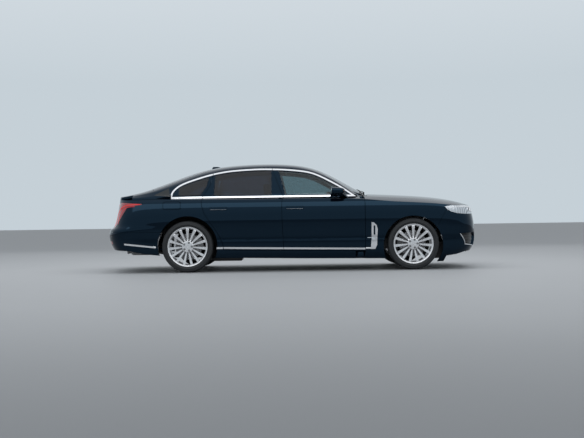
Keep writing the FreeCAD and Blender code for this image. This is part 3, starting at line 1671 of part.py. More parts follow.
def exhaust():
    """Pipe along the tunnel, cross silencer under the luggage floor and two tail pipes."""
    top = luggage_floor - seat_gap
    silencer = box(silencer_x[0], silencer_x[1], -silencer_half, silencer_half, top - 112, top)
    silencer = silencer.makeFillet(skin, [e for e in silencer.Edges if e.Length > silencer_half])
    bend = Vector(rear_axle_x - 260, 0, pipe_z)
    parts = [silencer, rod(pipe_radius, Vector(firewall_x, 0, pipe_z), bend)]
    parts.append(Part.makeSphere(pipe_radius, bend))
    parts.append(rod(pipe_radius, bend, Vector(silencer_x[1] - skin, 0, top - 56)))
    for y in (-tail_pipe_y, tail_pipe_y):
        parts.append(
            rod(pipe_radius, Vector(silencer_x[0] + skin, y, top - 56), Vector(tail_pipe_x, y, top - 66))
        )
    return fused(parts).removeSplitter()


def fuel_tank():
    top = floor_height - seat_gap
    tank = box(tank_x[0], tank_x[1], tank_y[0], tank_y[1], top - tank_depth, top)
    return tank.makeFillet(skin * 0.6, tank.Edges)


# Bright trim that stays on the body.
blade_shares = (
    (0.419, 0.435), (0.432, 0.431), (0.4455, 0.408), (0.451, 0.372), (0.447, 0.227), (0.4375, 0.191),
    (0.414, 0.1915), (0.419, 0.3), (0.419, 0.399)
)


def band(points, outer, inner):
    layer = ring_solid(-outer).cut(ring_solid(inner)).common(right_half)
    return layer.common(side_prism(points))


def blade():
    """Upright bright vent on the fender behind the front wheel."""
    rim_points = [(half_length * x, height * z) for x, z in blade_shares]
    shape = band(rim_points, trim_height + 3, -seat_gap)
    slot_x = half_length * 0.4345
    slot = box(slot_x - 13, slot_x + 11, -width, 0, height * 0.32, height * 0.405)
    slot = slot.makeFillet(10, [e for e in slot.Edges if abs(e.BoundBox.YLength) > half_width])
    return biggest(shape.cut(slot))


def quarter_trim():
    grow = panel_gap
    loop = arch_prism(-1.0).cut(arch_prism(-strip_width * 1.05))
    layer = trim_shell_upper.common(right_half).common(loop).cut(deck_solid(-seat_gap))
    behind = slab(
        shifted(rear_line, -slant_gap * 0.7), [Vector(-half_length * 0.7, 0, p.z) for p in rear_line]
    )
    return layer.common(behind)


def sill_trim():
    low = door_bottom_rear + sill_strip_lift
    front = half_length * -0.363 - panel_gap
    rear_piece = band(
        [(front, low), (front, low + sill_strip), (front - 85, low + sill_strip), (front - 85, low)],
        trim_height, -seat_gap
    )
    return rear_piece.Solids


def bumper_trim():
    strip = [(-2284, 381), (-2284, 403), (-1849, 356), (-1849, 334)]
    return band(strip, trim_height, -seat_gap).Solids


def bright_trim():
    half = [blade()] + quarter_trim().Solids + sill_trim() + bumper_trim()
    return Part.Compound([piece for part in half for piece in both(part)])


def save(name, shape):
    shape.exportStep("parts/" + name + ".step")


def save_pair(name, shape):
    save(name + "_right", shape)
    save(name + "_left", mirrored(shape))


os.makedirs("parts", exist_ok=True)
for place in ("front", "rear"):
    save_pair(place + "_door", door(place))
    save_pair(place + "_door_glass", door_glass(place))
    save_pair(place + "_door_trim", door_trim(place))
side_body = fused([body_side()] + hinge_arms(front_hinge_x) + hinge_arms(rear_hinge_x))
save("body_side_right", side_body.cut(fuel_pocket()))
save("body_side_left", mirrored(side_body))
save("cowl_panels", Part.Compound([front_cowl(), rear_cowl()]))
save("roof_panel", roof_panel())
save(
    "fixed_glass",
    Part.Compound([screen(windshield_shares), screen(rear_window_shares)] + both(quarter_glass()))
)
save("hood", hood())
save("front_fenders", Part.Compound(both(fender())))
save("front_bumper", front_bumper())
save("headlamps", Part.Compound(both(head_lamp())))
save("grille", grille())
save("trunk_lid", trunk_lid())
save("lid_lamp", lid_lamp())
save("tail_lamps", Part.Compound(both(tail_lamp())))
save("rear_bumper", rear_bumper())
save("fuel_door", fuel_door())
for end, x in (("front", front_axle_x), ("rear", rear_axle_x)):
    for hand, side in (("right", -1), ("left", 1)):
        save(end + "_tyre_" + hand, tyre(x, side))
        save(end + "_rim_" + hand, rim(x, side))
save_pair("front_knuckle", knuckle())
save("front_suspension", front_suspension())
save("rear_suspension", rear_suspension())
save("underbody", underbody())
save("front_seats", Part.Compound(both(front_seat())))
save("rear_seat", rear_seat())
save("dashboard", dashboard())
save("steering_wheel", steering_wheel())
save("engine_block", engine_block())
save("exhaust", exhaust())
save("fuel_tank", fuel_tank())
save("bright_trim", bright_trim())
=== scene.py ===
import json
import math

import bmesh
import bpy
import numpy as np
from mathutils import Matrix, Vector
from mathutils.bvhtree import BVHTree
from mathutils.geometry import barycentric_transform


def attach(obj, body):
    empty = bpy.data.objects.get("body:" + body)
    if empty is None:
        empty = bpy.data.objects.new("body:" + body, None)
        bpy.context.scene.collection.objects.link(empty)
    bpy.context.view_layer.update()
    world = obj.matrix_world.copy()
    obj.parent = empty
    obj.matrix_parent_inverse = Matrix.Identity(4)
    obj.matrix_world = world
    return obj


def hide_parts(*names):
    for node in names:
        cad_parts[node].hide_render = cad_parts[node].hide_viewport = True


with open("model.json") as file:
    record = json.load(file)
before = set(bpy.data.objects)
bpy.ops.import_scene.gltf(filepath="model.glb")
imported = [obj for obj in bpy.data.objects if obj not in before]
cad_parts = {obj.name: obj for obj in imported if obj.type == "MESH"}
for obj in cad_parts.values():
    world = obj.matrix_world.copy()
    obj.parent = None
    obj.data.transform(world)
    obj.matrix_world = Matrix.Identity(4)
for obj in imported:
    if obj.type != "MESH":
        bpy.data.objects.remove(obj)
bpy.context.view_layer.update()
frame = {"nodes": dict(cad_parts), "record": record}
nodes = frame["nodes"]
print("loaded", len(nodes), "nodes")

car = {
    "halfLength": 2.5685,
    "halfWidth": 0.952,
    "height": 1.493,
    "frontAxle": 1.6435,
    "rearAxle": -1.4165,
    "halfTrack": 0.813,
    "tyreRadius": 0.35,
}

hands = (("right", -1), ("left", 1))


# Smooth skin: the body's own curved surfaces give the shading of the paint.
planShares = [
    (1.0, 0.0), (1.0, 0.3), (0.992, 0.62), (0.955, 0.85), (0.87, 0.95), (0.72, 0.985), (0.45, 1.0),
    (0.1, 1.0),
    (-0.25, 1.0), (-0.52, 1.0), (-0.74, 0.985), (-0.9, 0.935), (-0.965, 0.83), (-0.995, 0.58), (-1.0, 0.28),
    (-1.0, 0.0),
]
levelShares = [
    (0.067, 0.922, 0.899, 0.884), (0.134, 0.965, 0.934, 0.947), (0.201, 0.996, 0.977, 0.985),
    (0.281, 1.0, 0.997, 0.985),
    (0.322, 1.0, 1.0, 0.983), (0.395, 0.998, 1.0, 0.994), (0.419, 0.997, 0.971, 0.995),
    (0.469, 0.992, 0.961, 1.0),
    (0.549, 0.982, 0.951, 0.994), (0.623, 0.965, 0.944, 0.975), (0.646, 0.957, 0.942, 0.956),
    (0.672, 0.945, 0.942, 0.924),
    (0.697, 0.934, 0.94, 0.905), (0.77, 0.907, 0.926, 0.905), (1.072, 0.844, 0.766, 0.905),
]
deckShares = [
    (1.071, 0.522, 0.462), (0.997, 0.573, 0.519), (0.934, 0.61, 0.557), (0.857, 0.644, 0.593),
    (0.759, 0.668, 0.618),
    (0.642, 0.684, 0.633), (0.526, 0.695, 0.644), (0.428, 0.703, 0.658), (0.311, 0.71, 0.67),
    (0.078, 0.713, 0.672),
    (-0.234, 0.713, 0.672), (-0.467, 0.713, 0.674), (-0.623, 0.71, 0.675), (-0.759, 0.703, 0.67),
    (-0.876, 0.697, 0.66),
    (-0.954, 0.69, 0.648), (-1.071, 0.676, 0.633),
]
deckHalfShares = [0.0, 0.35, 0.66, 0.89, 1.06]
deckDropShares = [0.0, 0.06, 0.42, 1.0, 1.9]
cabinShares = [
    (0.393, 0.861, 0.589, 0.522, 0.589, 0.872), (0.35, 0.846, 0.67, 0.448, 0.672, 0.884),
    (0.273, 0.809, 0.782, 0.352, 0.759, 0.893),
    (0.195, 0.765, 0.861, 0.259, 0.852, 0.895), (0.117, 0.725, 0.915, 0.156, 0.943, 0.895),
    (0.019, 0.695, 0.946, 0.037, 0.99, 0.895),
    (-0.117, 0.683, 0.954, -0.117, 1.002, 0.895), (-0.253, 0.683, 0.947, -0.253, 0.997, 0.895),
    (-0.37, 0.693, 0.93, -0.382, 0.981, 0.893),
    (-0.487, 0.714, 0.883, -0.506, 0.94, 0.889), (-0.603, 0.735, 0.809, -0.623, 0.871, 0.874),
    (-0.72, 0.748, 0.742, -0.74, 0.794, 0.846),
    (-0.837, 0.741, 0.703, -0.857, 0.726, 0.811), (-0.966, 0.714, 0.676, -0.966, 0.698, 0.777),
]


def splineWeights(count, samples):
    spans = count - 3
    knots = [0.0] * 4 + [float(k) for k in range(1, spans)] + [float(spans)] * 4
    weights = np.zeros((samples, count))
    for row, t in enumerate(np.linspace(0, spans - 1e-9, samples)):
        basis = [1.0 if knots[i] <= t < knots[i + 1] else 0.0 for i in range(len(knots) - 1)]
        for degree in (1, 2, 3):
            raised = []
            for i in range(len(basis) - 1):
                value = 0.0
                if knots[i + degree] > knots[i]:
                    value += (t - knots[i]) / (knots[i + degree] - knots[i]) * basis[i]
                if knots[i + degree + 1] > knots[i + 1]:
                    value += (knots[i + degree + 1] - t) / (
                        knots[i + degree + 1] - knots[i + 1]
                    ) * basis[i + 1]
                raised.append(value)
            basis = raised
        weights[row] = basis[:count]
    return weights


def skinGrid(rows, across, along):
    net = np.array(rows, float)
    points = np.einsum(
        "ai,bj,ijk->abk", splineWeights(net.shape[0], across), splineWeights(net.shape[1], along), net
    )
    normals = np.cross(np.gradient(points, axis=0), np.gradient(points, axis=1))
    lengths = np.linalg.norm(normals, axis=2, keepdims=True)
    return points, normals / np.maximum(lengths, 1e-12)


def ringRows(side):
    rows = []
    for zShare, noseShare, tailShare, sideShare in levelShares:
        row = []
        for xShare, yShare in planShares:
            endShare = noseShare if xShare > 0 else tailShare
            row.append(
                (
                    car["halfLength"] * xShare * endShare, side * car["halfWidth"] * yShare * sideShare,
                    car["height"] * zShare
                )
            )
        rows.append(row)
    return rows


def deckRows():
    rows = []
    for xShare, centreShare, shoulderShare in deckShares:
        half = [(car["halfWidth"] * y, car["height"] * (centreShare - (centreShare - shoulderShare) * drop))
                for y, drop in zip(deckHalfShares, deckDropShares)]
        rows.append(
            [
                (car["halfLength"] * xShare, -y, z) for y, z in half[::-1]
            ] + [(car["halfLength"] * xShare, y, z) for y, z in half[1:]]
        )
    return rows


def cabinRows():
    rows = []
    for ridgeX, ridgeY, ridgeZ, centreX, centreZ, beltY in cabinShares:
        beltZ, footZ = min(0.677, ridgeZ), min(0.589, ridgeZ)
        half = [
            (ridgeX, beltY + 0.02, footZ),
            (ridgeX, beltY, beltZ),
            (ridgeX, beltY + (ridgeY - beltY) * 0.38, beltZ + (ridgeZ - beltZ) * 0.42),
            (ridgeX, beltY + (ridgeY - beltY) * 0.78, beltZ + (ridgeZ - beltZ) * 0.8),
            (ridgeX, ridgeY, ridgeZ + (centreZ - ridgeZ) * 0.1),
            (ridgeX + (centreX - ridgeX) * 0.3, ridgeY * 0.84, ridgeZ + (centreZ - ridgeZ) * 0.62),
            (ridgeX + (centreX - ridgeX) * 0.8, ridgeY * 0.48, ridgeZ + (centreZ - ridgeZ) * 0.96),
            (centreX, 0.0, centreZ),
        ]
        line = [(car["halfLength"] * x, -car["halfWidth"] * y, car["height"] * z) for x, y, z in half]
        rows.append(line + [(x, -y, z) for x, y, z in line[::-1][1:]])
    return rows


def skinTrees():
    trees = []
    for rows, across, along in (
        (ringRows(-1), 150, 420), (ringRows(1), 150, 420), (deckRows(), 260, 120), (cabinRows(), 260, 160)
    ):
        points, normals = skinGrid(rows, across, along)
        verts = [tuple(p) for p in points.reshape(-1, 3)]
        faces = []
        for i in range(across - 1):
            for j in range(along - 1):
                a = i * along + j
                faces.append((a, a + 1, a + along + 1))
                faces.append((a, a + along + 1, a + along))
        tree = BVHTree.FromPolygons(verts, faces, all_triangles=True)
        trees.append((tree, [Vector(v) for v in verts], faces, [Vector(n) for n in normals.reshape(-1, 3)]))
    return trees


skins = skinTrees()
print("skins sampled")


def skinNormal(point, normal, reach=0.0009, limit=0.9):
    best = None
    for tree, verts, faces, normals in skins:
        place, _, index, distance = tree.find_nearest(point, reach)
        if index is None:
            continue
        a, b, c = faces[index]
        shade = barycentric_transform(
            place, verts[a], verts[b], verts[c], normals[a], normals[b], normals[c]
        )
        shade.normalize()
        match = shade.dot(normal)
        if match < 0:
            shade, match = -shade, -match
        if match > limit and (best is None or match > best[0]):
            best = (match, shade)
    return best[1] if best else None


def merged(node, name, angle=32.0, onSkin=False):
    mesh = nodes[node].data.copy()
    mesh.name = name
    shape = bmesh.new()
    shape.from_mesh(mesh)
    bmesh.ops.remove_doubles(shape, verts=shape.verts, dist=0.00002)
    bmesh.ops.dissolve_degenerate(shape, edges=shape.edges, dist=0.000005)
    shape.to_mesh(mesh)
    shape.free()
    mesh.materials.clear()
    mesh.polygons.foreach_set("use_smooth", [True] * len(mesh.polygons))
    mesh.set_sharp_from_angle(angle=math.radians(angle))
    obj = bpy.data.objects.new(name, mesh)
    bpy.context.scene.collection.objects.link(obj)
    if onSkin:
        corners = [Vector(n.vector) for n in mesh.corner_normals]
        cache = {}
        for face in mesh.polygons:
            for loop in face.loop_indices:
                vertex = mesh.loops[loop].vertex_index
                key = (vertex, tuple(round(v, 2) for v in face.normal))
                if key not in cache:
                    cache[key] = skinNormal(mesh.vertices[vertex].co, face.normal)
                if cache[key] is not None:
                    corners[loop] = cache[key]
        mesh.normals_split_custom_set(corners)
    return obj


def dress(obj, body, material, stands=()):
    obj.data.materials.append(material)
    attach(obj, body)
    if stands:
        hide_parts(*stands)
    return obj


# Materials.
def newMaterial(name):
    material = bpy.data.materials.new(name)
    material.use_nodes = True
    tree = material.node_tree
    tree.nodes.clear()
    output = tree.nodes.new("ShaderNodeOutputMaterial")
    shader = tree.nodes.new("ShaderNodeBsdfPrincipled")
    tree.links.new(shader.outputs["BSDF"], output.inputs["Surface"])
    return material, tree, shader


def objectPlace(tree):
    return tree.nodes.new("ShaderNodeTexCoord").outputs["Object"]


grainSockets = {
    "INPUT": [
        ("Place", "NodeSocketVector"), ("Scale", "NodeSocketFloat"), ("Dark", "NodeSocketColor"),
        ("Light", "NodeSocketColor"), ("Rough low", "NodeSocketFloat"), ("Rough high", "NodeSocketFloat"),
    ],
    "OUTPUT": [
        ("Colour", "NodeSocketColor"), ("Roughness", "NodeSocketFloat"), ("Mask", "NodeSocketFloat")
    ],
}


def grainGroup():
    group = bpy.data.node_groups.new("fineGrain", "ShaderNodeTree")
    for way, sockets in grainSockets.items():
        for socketName, kind in sockets:
            group.interface.new_socket(socketName, in_out=way, socket_type=kind)
    start = group.nodes.new("NodeGroupInput")
    end = group.nodes.new("NodeGroupOutput")
    noise = group.nodes.new("ShaderNodeTexNoise")
    noise.inputs["Detail"].default_value = 5.0
    group.links.new(start.outputs["Place"], noise.inputs["Vector"])
    group.links.new(start.outputs["Scale"], noise.inputs["Scale"])
    mix = group.nodes.new("ShaderNodeMix")
    mix.data_type = "RGBA"
    group.links.new(noise.outputs["Fac"], mix.inputs["Factor"])
    group.links.new(start.outputs["Dark"], mix.inputs["A"])
    group.links.new(start.outputs["Light"], mix.inputs["B"])
    spread = group.nodes.new("ShaderNodeMapRange")
    group.links.new(noise.outputs["Fac"], spread.inputs["Value"])
    group.links.new(start.outputs["Rough low"], spread.inputs["To Min"])
    group.links.new(start.outputs["Rough high"], spread.inputs["To Max"])
    group.links.new(mix.outputs["Result"], end.inputs["Colour"])
    group.links.new(spread.outputs["Result"], end.inputs["Roughness"])
    group.links.new(noise.outputs["Fac"], end.inputs["Mask"])
    return group


grain = grainGroup()


def addGrain(tree, shader, dark, light, scale):
    node = tree.nodes.new("ShaderNodeGroup")
    node.node_tree = grain
    tree.links.new(objectPlace(tree), node.inputs["Place"])
    node.inputs["Scale"].default_value = scale
    node.inputs["Dark"].default_value = (*dark, 1)
    node.inputs["Light"].default_value = (*light, 1)
    tree.links.new(node.outputs["Colour"], shader.inputs["Base Color"])
    return node


def grained(name, dark, light, roughness, scale=60.0, bump=0.0, bumpScale=None, **sockets):
    material, tree, shader = newMaterial(name)
    node = addGrain(tree, shader, dark, light, scale)
    node.inputs["Rough low"].default_value = roughness[0]
    node.inputs["Rough high"].default_value = roughness[1]
    tree.links.new(node.outputs["Roughness"], shader.inputs["Roughness"])
    if bump:
        fine = tree.nodes.new("ShaderNodeTexNoise")
        fine.inputs["Scale"].default_value = bumpScale or scale * 8
        fine.inputs["Detail"].default_value = 3.0
        tree.links.new(objectPlace(tree), fine.inputs["Vector"])
        height = tree.nodes.new("ShaderNodeBump")
        height.inputs["Strength"].default_value = bump
        height.inputs["Distance"].default_value = 0.0006
        tree.links.new(fine.outputs["Fac"], height.inputs["Height"])
        tree.links.new(height.outputs["Normal"], shader.inputs["Normal"])
    for key, value in sockets.items():
        shader.inputs[key.replace("_", " ")].default_value = value
    return material


paint = grained("blackPaint", (0.0012, 0.0022, 0.0045), (0.002, 0.0036, 0.0075), (0.03, 0.045), 900.0,
                Specular_IOR_Level=0.5, Specular_Tint=(0.26, 0.55, 0.86, 1.0))
glossBlack = grained(
    "glossBlack", (0.004, 0.0045, 0.005), (0.007, 0.0075, 0.008), (0.08, 0.14), 200.0, Coat_Weight=1.0,
    Coat_Roughness=0.02
)
amber = grained("amberLamp", (0.5, 0.16, 0.01), (0.62, 0.22, 0.02), (0.1, 0.15), 300.0, Coat_Weight=1.0)
mirrorSilver = grained(
    "mirrorSilver", (0.8, 0.82, 0.83), (0.84, 0.86, 0.87), (0.01, 0.02), 20.0, Metallic=1.0
)
chrome = grained("brightTrim", (0.86, 0.87, 0.89), (0.92, 0.93, 0.95), (0.06, 0.12), 30.0, Metallic=1.0)
alloy = grained(
    "wheelAlloy", (0.72, 0.73, 0.75), (0.82, 0.83, 0.85), (0.22, 0.32), 40.0, Metallic=0.6, Coat_Weight=0.6,
    Coat_Roughness=0.08
)
rubber = grained("tyreRubber", (0.007, 0.0085, 0.0105), (0.014, 0.017, 0.02), (0.5, 0.68), 45.0, 0.25)
blackTrim = grained("blackTrim", (0.008, 0.008, 0.009), (0.016, 0.016, 0.017), (0.35, 0.5), 80.0, 0.15)
# satin metal for the thin strip on the door handles, a painted highlight along each flush handle
handleHighlightMetal = grained("handleHighlightSatin", (0.3, 0.31, 0.33), (0.4, 0.41, 0.43), (0.25, 0.35), 60.0, Metallic=1.0)
softPlastic = grained("softPlastic", (0.018, 0.017, 0.016), (0.032, 0.03, 0.028), (0.5, 0.65), 90.0, 0.3)
leather = grained(
    "darkLeather", (0.02, 0.015, 0.012), (0.04, 0.03, 0.024), (0.38, 0.55), 30.0, 0.5, 260.0,
    Sheen_Weight=0.1
)
steel = grained("partSteel", (0.16, 0.16, 0.165), (0.3, 0.3, 0.3), (0.35, 0.55), 35.0, 0.2, Metallic=0.85)
castMetal = grained(
    "castMetal", (0.12, 0.12, 0.125), (0.22, 0.22, 0.22), (0.5, 0.7), 60.0, 0.5, Metallic=0.7
)
# dark underbody coating, also kept this dark as painted shade under the sills
underCoatAndShade = grained("underCoatAndShade", (0.012, 0.012, 0.013), (0.03, 0.03, 0.03), (0.55, 0.75), 20.0, 0.4)


def glassMaterial(name, tint, roughness=0.01):
    material, tree, shader = newMaterial(name)
    addGrain(tree, shader, [c * 0.94 for c in tint], tint, 6.0)
    shader.inputs["Roughness"].default_value = roughness
    shader.inputs["Transmission Weight"].default_value = 1.0
    shader.inputs["IOR"].default_value = 1.5
    return material


darkGlass = glassMaterial("darkGlass", (0.07, 0.105, 0.15))
clearGlass = glassMaterial("tealGlass", (0.27, 0.4, 0.43))


def fluted(name, dark, light, turn, scale, metallic):
    # a moulded lamp body seen through its lens: fine upright ribs between a dark and a light tone
    material, tree, shader = newMaterial(name)
    turned = tree.nodes.new("ShaderNodeMapping")
    turned.inputs["Rotation"].default_value = turn
    tree.links.new(objectPlace(tree), turned.inputs["Vector"])
    ribs = tree.nodes.new("ShaderNodeTexWave")
    ribs.inputs["Scale"].default_value = scale
    ribs.inputs["Distortion"].default_value = 0.0
    tree.links.new(turned.outputs["Vector"], ribs.inputs["Vector"])
    mix = tree.nodes.new("ShaderNodeMix")
    mix.data_type = "RGBA"
    mix.inputs["A"].default_value = (*dark, 1)
    mix.inputs["B"].default_value = (*light, 1)
    tree.links.new(ribs.outputs["Fac"], mix.inputs["Factor"])
    tree.links.new(mix.outputs["Result"], shader.inputs["Base Color"])
    height = tree.nodes.new("ShaderNodeBump")
    height.inputs["Strength"].default_value = 0.35
    height.inputs["Distance"].default_value = 0.0015
    tree.links.new(ribs.outputs["Fac"], height.inputs["Height"])
    tree.links.new(height.outputs["Normal"], shader.inputs["Normal"])
    shader.inputs["Metallic"].default_value = metallic
    shader.inputs["Roughness"].default_value = 0.22
    shader.inputs["Coat Weight"].default_value = 1.0
    shader.inputs["Coat Roughness"].default_value = 0.02
    return material


redGlass = fluted(
    "redLamp", (0.2, 0.002, 0.006), (0.5, 0.012, 0.026), (0.0, 0.0, math.radians(40)), 28.0, 0.0
)
lampGlass = fluted(
    "lampLens", (0.3, 0.33, 0.36), (0.72, 0.76, 0.8), (0.0, 0.0, math.radians(35)), 22.0, 0.7
)
lensGlass = grained(
    "projectorLens", (0.05, 0.06, 0.07), (0.12, 0.14, 0.16), (0.02, 0.04), 30.0, Coat_Weight=1.0,
    Coat_Roughness=0.01
)
print("materials made")

# The car's own solids, merged and shaded.
looks = [
    (paint, "paint", True, "body_side roof_panel front_fenders front_bumper rear_bumper hood"),
    (paint, "paint", True, "trunk_lid fuel_door front_door rear_door"),
    (darkGlass, "glass", True, "fixed_glass rear_door_glass"),
    (clearGlass, "glass", True, "front_door_glass"),
    (chrome, "bright", False, "front_door_trim rear_door_trim bright_trim grille"),
    (lampGlass, "clear_lamp", True, "headlamps"),
    (redGlass, "red_lamp", True, "tail_lamps lid_lamp"),
    (alloy, "alloy", False, "front_rim rear_rim"),
    (castMetal, "cast_metal", False, "front_knuckle engine_block"),
    (steel, "steel", False, "front_suspension rear_suspension exhaust"),
    (underCoatAndShade, "underbody", False, "underbody"),
    (leather, "leather", False, "front_seats rear_seat steering_wheel"),
    (softPlastic, "soft_plastic", False, "dashboard"),
    (blackTrim, "black_plastic", False, "fuel_tank cowl_panels"),
]


def kindOf(node):
    for ending in ("_left", "_right"):
        if node.endswith(ending):
            return node[: -len(ending)]
    return node


def nodeBodies():
    return {
        node: body for body, members in frame["record"]["behaviour"]["bodies"].items() for node in members
    }


bodyOf = nodeBodies()
lookOf = {kind: look[:3] for look in looks for kind in look[3].split()}
for node in sorted(nodes):
    if kindOf(node) not in lookOf:
        continue
    material, slotName, onSkin = lookOf[kindOf(node)]
    dress(merged(node, node + ".skin", onSkin=onSkin), bodyOf[node], material, [node])


def blackBehind(obj, depth):
    # the backing between the grille bars is black; the bars and the frame stay bright
    obj.data.materials.append(blackTrim)
    for face in obj.data.polygons:
        start = Vector((3.2, face.center.y, face.center.z))
        hits = [skins[k][0].ray_cast(start, Vector((-1, 0, 0)))[0] for k in (0, 1)]
        ahead = max((hit.x for hit in hits if hit), default=face.center.x)
        if ahead - face.center.x > depth:
            face.material_index = 1


blackBehind(bpy.data.objects["grille.skin"], 0.052)
print("solids dressed")


# Repeated parts: one tree turns a part about the wheel's axis, the other sets it out in a row.
def treeStart(name, sockets):
    tree = bpy.data.node_groups.new(name, "GeometryNodeTree")
    tree.interface.new_socket("Geometry", in_out="INPUT", socket_type="NodeSocketGeometry")
    for socketName, kind in sockets:
        tree.interface.new_socket(socketName, in_out="INPUT", socket_type=kind)
    tree.interface.new_socket("Geometry", in_out="OUTPUT", socket_type="NodeSocketGeometry")
    return tree, tree.nodes.new("NodeGroupInput"), tree.nodes.new("NodeGroupOutput")


def treeEnd(tree, start, end, instances, move=None):
    links = tree.links
    real = tree.nodes.new("GeometryNodeRealizeInstances")
    links.new(instances, real.inputs["Geometry"])
    last = real.outputs["Geometry"]
    if move is not None:
        place = tree.nodes.new("GeometryNodeTransform")
        links.new(last, place.inputs["Geometry"])
        links.new(move, place.inputs["Translation"])
        last = place.outputs["Geometry"]
    finish = tree.nodes.new("GeometryNodeSetMaterial")
    links.new(last, finish.inputs["Geometry"])
    links.new(start.outputs["Material"], finish.inputs["Material"])
    links.new(finish.outputs["Geometry"], end.inputs["Geometry"])


def ringTree():
    sockets = (
        ("Count", "NodeSocketInt"), ("Turn", "NodeSocketFloat"), ("Centre", "NodeSocketVector"),
        ("Material", "NodeSocketMaterial"),
    )
    tree, start, end = treeStart("aroundTheAxle", sockets)
    links = tree.links
    points = tree.nodes.new("GeometryNodeMeshLine")
    points.inputs["Offset"].default_value = (0, 0, 0)
    links.new(start.outputs["Count"], points.inputs["Count"])
    index = tree.nodes.new("GeometryNodeInputIndex")
    step = tree.nodes.new("ShaderNodeMath")
    step.operation = "DIVIDE"
    step.inputs[0].default_value = 2 * math.pi
    links.new(start.outputs["Count"], step.inputs[1])
    turn = tree.nodes.new("ShaderNodeMath")
    turn.operation = "MULTIPLY_ADD"
    links.new(index.outputs[0], turn.inputs[0])
    links.new(step.outputs[0], turn.inputs[1])
    links.new(start.outputs["Turn"], turn.inputs[2])
    angles = tree.nodes.new("ShaderNodeCombineXYZ")
    links.new(turn.outputs[0], angles.inputs["Y"])
    copies = tree.nodes.new("GeometryNodeInstanceOnPoints")
    links.new(points.outputs["Mesh"], copies.inputs["Points"])
    links.new(start.outputs["Geometry"], copies.inputs["Instance"])
    links.new(angles.outputs[0], copies.inputs["Rotation"])
    treeEnd(tree, start, end, copies.outputs["Instances"], start.outputs["Centre"])
    return tree


def rowTree():
    sockets = (("Count", "NodeSocketInt"), ("Step", "NodeSocketVector"), ("Material", "NodeSocketMaterial"))
    tree, start, end = treeStart("inARow", sockets)
    points = tree.nodes.new("GeometryNodeMeshLine")
    tree.links.new(start.outputs["Count"], points.inputs["Count"])
    tree.links.new(start.outputs["Step"], points.inputs["Offset"])
    copies = tree.nodes.new("GeometryNodeInstanceOnPoints")
    tree.links.new(points.outputs["Mesh"], copies.inputs["Points"])
    tree.links.new(start.outputs["Geometry"], copies.inputs["Instance"])
    treeEnd(tree, start, end, copies.outputs["Instances"])
    return tree


ringCopies = ringTree()
rowCopies = rowTree()


def meshObject(name, verts, faces, smooth=None):
    mesh = bpy.data.meshes.new(name)
    mesh.from_pydata([tuple(v) for v in verts], [], faces)
    shape = bmesh.new()
    shape.from_mesh(mesh)
    bmesh.ops.remove_doubles(shape, verts=shape.verts, dist=0.000001)
    bmesh.ops.recalc_face_normals(shape, faces=shape.faces)
    shape.to_mesh(mesh)
    shape.free()
    obj = bpy.data.objects.new(name, mesh)
    bpy.context.scene.collection.objects.link(obj)
    if smooth is not None:
        mesh.polygons.foreach_set("use_smooth", [True] * len(mesh.polygons))
        mesh.set_sharp_from_angle(angle=math.radians(smooth))
    return obj


def grown(obj, tree, values):
    modifier = obj.modifiers.new("copies", "NODES")
    modifier.node_group = tree
    for item in tree.interface.items_tree:
        if item.item_type == "SOCKET" and item.in_out == "INPUT" and item.name in values:
            modifier[item.identifier] = values[item.name]
    seen = obj.evaluated_get(bpy.context.evaluated_depsgraph_get())
    mesh = bpy.data.meshes.new_from_object(seen)
    obj.modifiers.clear()
    obj.data = mesh
    return obj


def lathe(name, outline, segments, centre=(0, 0, 0), smooth=30.0, closed=True):
    verts, faces = [], []
    count = len(outline)
    for i in range(segments):
        a = 2 * math.pi * i / segments
        for radius, y in outline:
            verts.append(
                (centre[0] + radius * math.sin(a), centre[1] + y, centre[2] + radius * math.cos(a))
            )
    for i in range(segments):
        n = (i + 1) % segments
        for j in range(count if closed else count - 1):
            k = (j + 1) % count
            faces.append((i * count + j, n * count + j, n * count + k, i * count + k))
    return meshObject(name, verts, faces, smooth)


def block(name, low, high, bevel=0.0, segments=2):
    (x0, y0, z0), (x1, y1, z1) = low, high
    verts = [(x, y, z) for x in (x0, x1) for y in (y0, y1) for z in (z0, z1)]
    faces = [(0, 1, 3, 2), (4, 6, 7, 5), (0, 4, 5, 1), (2, 3, 7, 6), (0, 2, 6, 4), (1, 5, 7, 3)]
    obj = meshObject(name, verts, faces)
    if bevel:
        shape = bmesh.new()
        shape.from_mesh(obj.data)
        bmesh.ops.bevel(
            shape, geom=list(shape.edges), offset=bevel, segments=segments, affect="EDGES", profile=0.5
        )
        shape.to_mesh(obj.data)
        shape.free()
        obj.data.polygons.foreach_set("use_smooth", [True] * len(obj.data.polygons))
        obj.data.set_sharp_from_angle(angle=math.radians(40))
    return obj


def joined(name, parts):
    first = parts[0]
    shape = bmesh.new()
    for part in parts:
        shape.from_mesh(part.data)
    mesh = bpy.data.meshes.new(name)
    shape.to_mesh(mesh)
    shape.free()
    if first.data.materials:
        mesh.materials.append(first.data.materials[0])
    for part in parts:
        bpy.data.objects.remove(part)
    obj = bpy.data.objects.new(name, mesh)
    bpy.context.scene.collection.objects.link(obj)
    return obj


